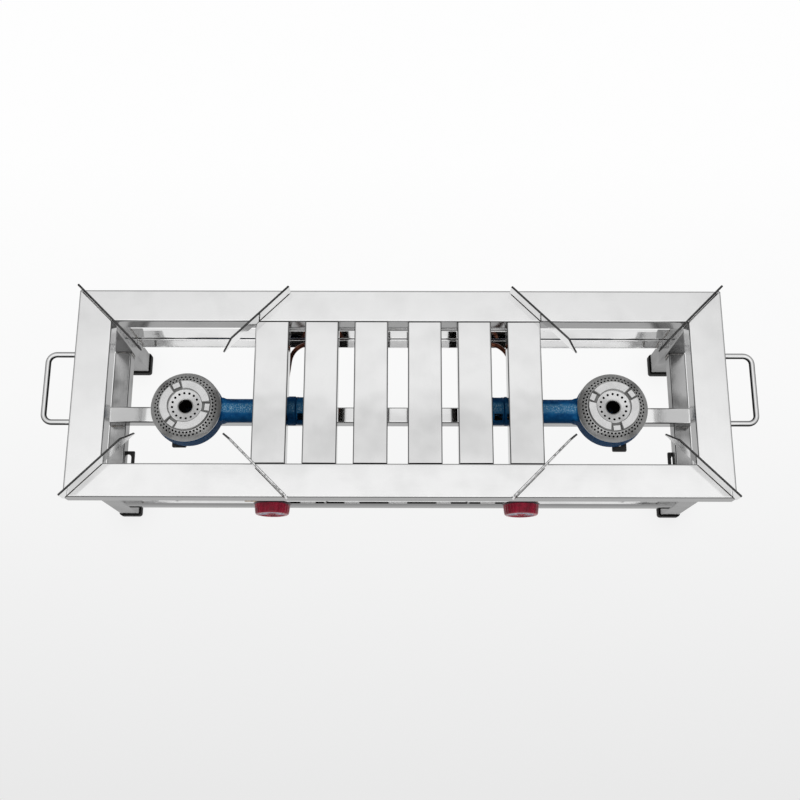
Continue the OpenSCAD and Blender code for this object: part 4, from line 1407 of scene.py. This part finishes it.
    def cap(self, top: float) -> None:
        """Builds the cap: port band, bare arcs, dished middle.

        Args:
            top: Its height over the bowl's rim in millimetres.
        """
        word, r = self.side.word, self.bowl_d / 2 - 0.2
        dish, band, ring_in = top - self.step, 0.74 * r, 0.47 * r
        at = Matrix.Translation(Vector((self.middle.x, self.middle.y, self.cap_base))) @ spin(self.cap_turn)
        base = Shell().lathe(self.band(r, band, ring_in, dish), 128, at).made(f"burner_cap_{word}_port_band")
        face_outwards(base)
        cutter = self.cutters(at, r, dish, top)
        base.data.materials.append(CAP.material())
        cut = base.modifiers.new("ports", "BOOLEAN")
        cut.operation, cut.object, cut.solver, cut.material_mode = "DIFFERENCE", cutter, "EXACT", "TRANSFER"
        settle(base)
        mesh = cutter.data
        bpy.data.objects.remove(cutter)
        bpy.data.meshes.remove(mesh)
        dress(base, None, f"cap_{word}", [f"burner_cap_{word}"], 28)
        base.data.materials.append(GROOVE_SHADE.material())
        # The level land between the arcs gets painted shade.
        for face in base.data.polygons:
            reach = math.hypot(face.center.x - self.middle.x, face.center.y - self.middle.y) / MM
            if face.material_index == 0 and ring_in + 0.2 < reach < band and face.normal.z > 0.9:
                face.material_index = len(base.data.materials) - 1
        arcs, on_dish, pitch = Shell(), shift(0, 0, dish - 0.6), 360 // self.arcs
        for k in range(self.arcs):
            a0, a1 = pitch * k + 12.5, pitch * (k + 1) - 12.5
            outline = arc(0, 0, band - 0.9, a0 + 0.6, a1 - 0.6, 28)
            outline += arc(0, 0, ring_in + 0.3, a1 - 2, a0 + 2, 18)
            arcs.plate(outline, self.step + 0.6, bevel=1.1, at=at @ on_dish)
            pad = rounded(band - 9.5, -5.6, band - 1.5, 5.6, 0.7)
            arcs.plate(pad, 3.0, bevel=0.6, at=at @ spin(pitch * k) @ on_dish)
        arcs.build(f"burner_cap_{word}_arcs", CAP, f"cap_{word}", [f"burner_cap_{word}"], 28)

    def band(self, r: float, band: float, ring_in: float, dish: float) -> Outline:
        """The cap's profile without its arcs and ports.

        Args:
            r: Its rim's radius.
            band: Inner radius of the port band.
            ring_in: Inner radius of the arcs.
            dish: Height of the level land.

        Returns:
            A closed outline of radius and height pairs.
        """
        hole, collar = self.hole_r, self.bowl_d / 2 - 5.9
        return [
            (r - 0.5, 0.0), (r, 0.5), (r, 2.4), (r - 0.15, 2.9), (r - 0.6, 3.3), (band + 0.5, dish - 0.25),
            (band, dish), (ring_in + 0.3, dish), (ring_in - 0.6, dish), (ring_in - 1.6, dish - 0.2),
            (hole + 2.4, dish - 2.8), (hole + 1.0, dish - 3.3), (hole + 0.2, dish - 3.9), (hole, dish - 4.6),
            (hole, dish - 8), (hole + 3, dish - 8), (band - 4, dish - 4.5), (collar - 3, 1.0),
            (collar - 3, -6.0), (collar, -6.0), (collar, 0.0),
        ]

    def cutters(self, at: Matrix, r: float, dish: float, top: float) -> bpy.types.Object:
        """Makes the pins that cut the flame ports: two leaning rows on the band, one upright row inside.

        Args:
            at: The cap's place.
            r: Its rim's radius.
            dish: Height of the level land.
            top: The cap's height.

        Returns:
            One object with all pins, whose near-black finish the ports' walls take: burnt metal and painted
            shade.
        """
        shell, hole, rim = Shell(), self.port_d / 2, self.bowl_d / 2
        for k in range(self.ports):
            for share, late in ((0.86, 0.0), (0.78, 0.5)):
                # Each pin stands on the band's slope, which climbs from the rim to the land.
                z = 3 + (rim - share * r) / (rim - 0.74 * rim) * (dish - 3)
                place = at @ spin(360 * (k + late) / self.ports) @ shift(share * r, 0, z)
                shell.lathe([(0, -9), (hole, -9), (hole, 3), (0, 3)], 12, place @ spin(self.port_lean, "Y"))
        wide = hole * 1.15
        for k in range(self.inner_ports):
            turn = spin(360 * (k + 0.5) / self.inner_ports)
            shell.lathe([(0, 0), (wide, 0), (wide, top), (0, top)], 12, at @ turn @ shift(0.37 * r, 0, 0))
        cutter = shell.made("port_cutters")
        face_outwards(cutter)
        cutter.data.materials.append(SOOT_AND_SHADE.material())
        return cutter


@dataclass
class GasLine:
    """The copper pipes, and better finishes for the fittings that keep their CAD solids."""

    nodes: dict[str, bpy.types.Object]
    pipe_d: float = 6.4
    shift_y: float = 1.7197
    tap_x: float = 181.0
    tap_mean_x: float = -4.5

    def build(self) -> None:
        """Builds the pipes and dresses the fittings."""
        for side in Side:
            self.pipe(side)
        fittings = (
            (BRASS, "pipe_nuts injector_left injector_right valve_body_left valve_body_right hose_nozzle"),
            (BRASS, "manifold_plug"), (TUBE_X, "manifold"), (TUBE_Z, "manifold_brackets"),
            (ZINC, "burner_bolts valve_spindle_left valve_spindle_right"),
        )
        for finish, nodes in fittings:
            for node in nodes.split():
                coat(self.nodes[node], finish)
                smooth(self.nodes[node], 30)

    def pipe(self, side: Side) -> None:
        """Builds one copper pipe on its CAD route, from the tap up, back and down to the injector.

        Args:
            side: Its half of the stove.
        """
        node, s = f"gas_pipe_{side.word}", side.value
        tap = self.tap_mean_x + self.tap_x * s
        route = [(tap, -125.725, 154), (tap, -125.725, 190), (158 * s, 92, 190), (94 * s, 92, 190),
                 (94 * s, -3, 162), (125 * s, -3, 162)]
        path = rounded_path([mm(x, y + self.shift_y, z) for x, y, z in route], [14, 30, 30, 14])
        Shell().sweep(path, self.pipe_d / 2, 20).build(f"{node}_tube", COPPER, instead=[node], sharp=60)


@dataclass
class Knob:
    """A fluted knob with a sunk foil ring on its face."""

    side: Side
    rim: float = 28.0
    face_d: float = 49.0
    flutes: int = 24
    flute_depth: float = 0.6
    flange_stages: int = 5
    marks: int = 9

    def build(self) -> None:
        """Builds the knob and its face."""
        node, body = f"knob_{self.side.word}", f"knob_{self.side.word}"
        low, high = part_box(node)
        depth, face = (high.y - low.y) / MM, self.face_d / 2
        at = Matrix.Translation(Vector(((low.x + high.x) / 2, high.y, (low.z + high.z) / 2))) @ spin(90, "X")
        steps = self.flutes * 8
        rings = []
        for r, z, share in self.stages(depth, face):
            ring = []
            for a in (2 * math.pi * j / steps for j in range(steps)):
                dip = self.flute_depth * share * (0.5 + 0.5 * math.cos(a * self.flutes)) ** 3
                ring.append(at @ mm((r - dip) * math.cos(a), (r - dip) * math.sin(a), z))
            rings.append(ring)
        piece = Shell().loops(rings).build(f"{node}_fluted", RED, body, [node], 50)
        # Painted shade: the flange's faces get the darker red.
        piece.data.materials.append(SHADED_FLANGE.material())
        for skin in piece.data.polygons[:self.flange_stages * steps]:
            skin.material_index = 1
        ring = arc(0, 0, face - 6.4, -12, 192, 60) + arc(0, 0, 9.5, 192, -12, 40)
        foil = Shell().plate(ring, 0.35, bevel=0.08, at=at @ shift(0, 0, depth - 0.7))
        foil.build(f"{node}_foil", FOIL, body, slot="plated_steel")
        marks = Shell()
        for k in range(self.marks):
            far, half = face - 8.0, 0.45
            near = far - (4.2 if k % 4 == 0 else 2.4)
            wide = half + 0.05 * k
            marks.plate([(near, -half), (far, -wide), (far, wide), (near, half)], 0.06, bevel=0.01,
                        at=at @ spin(90 - k * 22.5) @ shift(0, 0, depth - 0.36))
        marks.build(f"{node}_marks", INK, body, slot="red_plastic")

    def stages(self, depth: float, face: float) -> list[tuple[float, float, float]]:
        """The knob's profile, from its flange over the fluted side to the middle of its face.

        Args:
            depth: Its depth in millimetres.
            face: Its face's radius.

        Returns:
            Radius, height and share of the flutes at each ring.
        """
        rim, side = self.rim, self.rim - 2.1
        stages = [(rim - 3.2, 0.0, 0.0), (rim - 1.6, 0.1, 0.0), (rim - 0.4, 0.9, 0.0), (rim - 0.2, 1.9, 0.0),
                  (rim - 1.0, 2.7, 0.0), (side, 3.3, 0.6)]
        stages += [(side - (side - face) * t, 3.3 + (depth - 5.0) * t, 1.0) for t in (0.15, 0.5, 0.75, 0.9)]
        return stages + [
            (face - 0.6, depth - 0.8, 0.6), (face - 1.6, depth - 0.15, 0.2), (face - 2.8, depth, 0.0),
            (face - 5.6, depth, 0.0), (face - 6.1, depth - 0.7, 0.0), (6.4, depth - 0.7, 0.0),
            (6.0, depth - 0.3, 0.0), (5.4, depth - 0.1, 0.0), (4.9, depth - 0.7, 0.0),
        ]


@dataclass
class CarryHandle:
    """A bent rod handle with its two weld rings."""

    side: Side
    rod_d: float = 8.0
    bend_r: float = 12.0
    weld_r: float = 1.2

    def build(self) -> None:
        """Builds the rod and its welds."""
        node = f"carry_handle_{self.side.word}"
        low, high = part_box(node)
        s, r = self.side.value, self.rod_d / 2 * MM
        near, far = (low.x, high.x - r) if s > 0 else (high.x, low.x + r)
        z, y0, y1 = (low.z + high.z) / 2, low.y + r, high.y - r
        corners = [Vector((x, y, z)) for x, y in ((near, y0), (far, y0), (far, y1), (near, y1))]
        path = rounded_path(corners, [self.bend_r, self.bend_r])
        Shell().sweep(path, self.rod_d / 2, 32).build(f"{node}_rod", ROD, instead=[node], sharp=60)
        welds = Shell()
        for y in (y0, y1):
            ring = [Vector((near + s * 0.5 * MM, y + a * MM, z + b * MM))
                    for a, b in arc(0, 0, self.rod_d / 2 + 0.2, 0, 360, 28)]
            welds.sweep(ring, lambda share: self.weld_r * (1 + 0.12 * math.sin(share * 70)), BEAD_STEPS)
        welds.build(f"{node}_welds", WELD, slot="stainless_steel")


@dataclass
class Studio:
    """The camera, the pale floor and the soft light."""

    focal_px: float = 1074.05
    width_px: float = 800.0
    sensor: float = 36.0
    pitch: float = 15.606
    roll: float = 0.1298
    place: tuple[float, float, float] = (0.0, -411.39, 1691.51)
    floor_half: float = 9.0
    floor_tones: Stops = ((0.05, "#e9e9e9"), (0.614, "#f9f9f9"), (1.0, "#fefefe"))

    def build(self) -> None:
        """Builds camera, floor and lights."""
        bpy.context.scene.view_settings.view_transform = "Standard"
        self.camera()
        self.floor()
        self.world()
        self.lights()

    def camera(self) -> None:
        """Sets the photograph's camera."""
        data = bpy.data.cameras.new("photo_camera")
        data.sensor_width = self.sensor
        data.lens = self.focal_px * self.sensor / self.width_px
        data.clip_start, data.clip_end = 0.05, 60.0
        camera = bpy.data.objects.new("photo_camera", data)
        bpy.context.scene.collection.objects.link(camera)
        camera.matrix_world = shift(*self.place) @ spin(self.pitch, "X") @ spin(self.roll)
        bpy.context.scene.camera = camera

    def floor(self) -> None:
        """Lays a big pale sheet whose tone follows the photograph's plain ground, with a faint painted shadow
        under the stove.
        """
        half = self.floor_half
        corners = [Vector((x, y, 0)) for x, y in ((-half, -half), (half, -half), (half, half), (-half, half))]
        sheet = Shell(corners, [(0, 1, 2, 3)]).made("studio_floor")
        made = bpy.data.materials.new("paper_floor_matt")
        made.use_nodes = True
        graph = Graph(made.node_tree)
        place = graph.add("TexCoord", out="Object")
        y = graph.add("SeparateXYZ", {"Vector": place}, "Y")
        share = graph.add("MapRange", {"Value": y, "From Min": -0.6, "From Max": 0.5})
        tone = graph.add("ValToRGB", {"Fac": share}, stops=self.floor_tones)
        fibre = graph.pattern(place, Grain(40))
        tone = graph.tinted(tone, "#e8e8e8", (fibre, ((0.3, 0.015), (0.7, 0.0))))
        # Painted contact shadow: the glow darkens where the stove hides the open sky nearby.
        painted_shadow_ao = graph.add("AmbientOcclusion", {"Distance": 45 * MM}, "AO")
        tone = graph.tinted(tone, "#8a8a8a", (painted_shadow_ao, ((0.3, 0.1), (1.0, 0.0))))
        paper = graph.add("BsdfDiffuse", {"Color": "#efefef"})
        glow = graph.add("Emission", {"Color": tone, "Strength": 1.0})
        rays = graph.add("LightPath").node.outputs
        seen = graph.add("Math", {0: rays["Is Camera Ray"], 1: rays["Is Glossy Ray"]}, operation="MAXIMUM")
        seen = graph.add("Math", {0: seen, 1: rays["Is Transmission Ray"]}, operation="MAXIMUM")
        graph.add("OutputMaterial", {"Surface": graph.add("MixShader", {0: seen, 1: paper, 2: glow})})
        sheet.data.materials.append(made)

    def world(self) -> None:
        """Sets a pale surround: dimmer where it only lights, brighter where steel mirrors it.

        Both grow darker towards the horizon, so that tube edges draw dark. The mirrored one has a
        soft grey patch that gives the slats' middles their dip in tone.
        """
        world = bpy.data.worlds.new("studio_surround")
        bpy.context.scene.world = world
        world.use_nodes = True
        graph = Graph(world.node_tree)
        place = graph.add("TexCoord", out="Generated")
        apart = graph.add("SeparateXYZ", {"Vector": place}).node.outputs
        depth = graph.add("Math", {0: apart["Y"], 1: -0.2, 2: apart["Z"]}, operation="MULTIPLY_ADD")
        dim = graph.add("ValToRGB", {"Fac": depth}, stops=(
            (0.0, 0.02), (0.3, 0.05), (0.52, 0.30), (0.76, 0.66), (0.865, 0.762), (0.943, 0.877),
            (1.0, 0.92)))
        mirrored = graph.add("ValToRGB", {"Fac": depth}, stops=(
            (0.0, 0.30), (0.25, 0.52), (0.5, 0.60), (0.76, 0.64), (0.8373, 0.72), (0.8635, 0.836),
            (0.89, 0.945), (0.9152, 0.985), (1.0, 0.985)))
        across = graph.add("Math", {0: apart["X"]}, operation="ABSOLUTE")
        mirrored = graph.tinted(
            mirrored, "#000000",
            (apart["Y"], ((0.18, 0.0), (0.22, 0.22), (0.25, 0.31), (0.257, 0.31), (0.272, 0.0))),
            (across, ((0.16, 1.0), (0.28, 0.0))))
        rays = graph.add("LightPath").node.outputs
        colour = graph.add("Mix", {0: rays["Is Glossy Ray"], 6: dim, 7: mirrored}, 2, data_type="RGBA")
        colour = graph.add("Mix", {0: rays["Is Camera Ray"], 6: colour, 7: "#fafafa"}, 2, data_type="RGBA")
        graph.add("OutputWorld", {"Surface": graph.add("Background", {"Color": colour, "Strength": 1.0})})

    def lights(self) -> None:
        """Hangs two large soft panels, one overhead and one towards the front."""
        panels = (("overhead_panel", mm(0, 500, 2600), mm(0, 0, 250), 2.6, 1.6, 2.0),
                  ("front_panel", mm(0, -1900, 1700), mm(0, 0, 200), 2.4, 1.0, 9.0))
        for name, place, aim, wide, tall, power in panels:
            data = bpy.data.lights.new(name, "AREA")
            data.shape, data.size, data.size_y, data.energy = "RECTANGLE", wide, tall, power
            panel = bpy.data.objects.new(name, data)
            bpy.context.scene.collection.objects.link(panel)
            panel.location = place
            panel.rotation_euler = (aim - place).to_track_quat("-Z", "Y").to_euler()
            panel.visible_camera = False


def main() -> None:
    """Builds the stove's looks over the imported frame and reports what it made."""
    logging.basicConfig(level=logging.INFO, format="%(message)s")
    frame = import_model()
    parts = [Studio(), TopFrame(), PotSupports(), LegSet(), LowerFrame(), Burner(Side.LEFT, cap_turn=-5.0),
             Burner(Side.RIGHT, cap_turn=35.0), GasLine(frame["nodes"]), Knob(Side.LEFT), Knob(Side.RIGHT),
             CarryHandle(Side.LEFT), CarryHandle(Side.RIGHT)]
    for part in parts:
        before = set(bpy.data.objects.keys())
        part.build()
        for name in sorted(set(bpy.data.objects.keys()) - before):
            LOG.info("%s built %s", type(part).__name__, name)


if __name__ == "__main__":
    main()
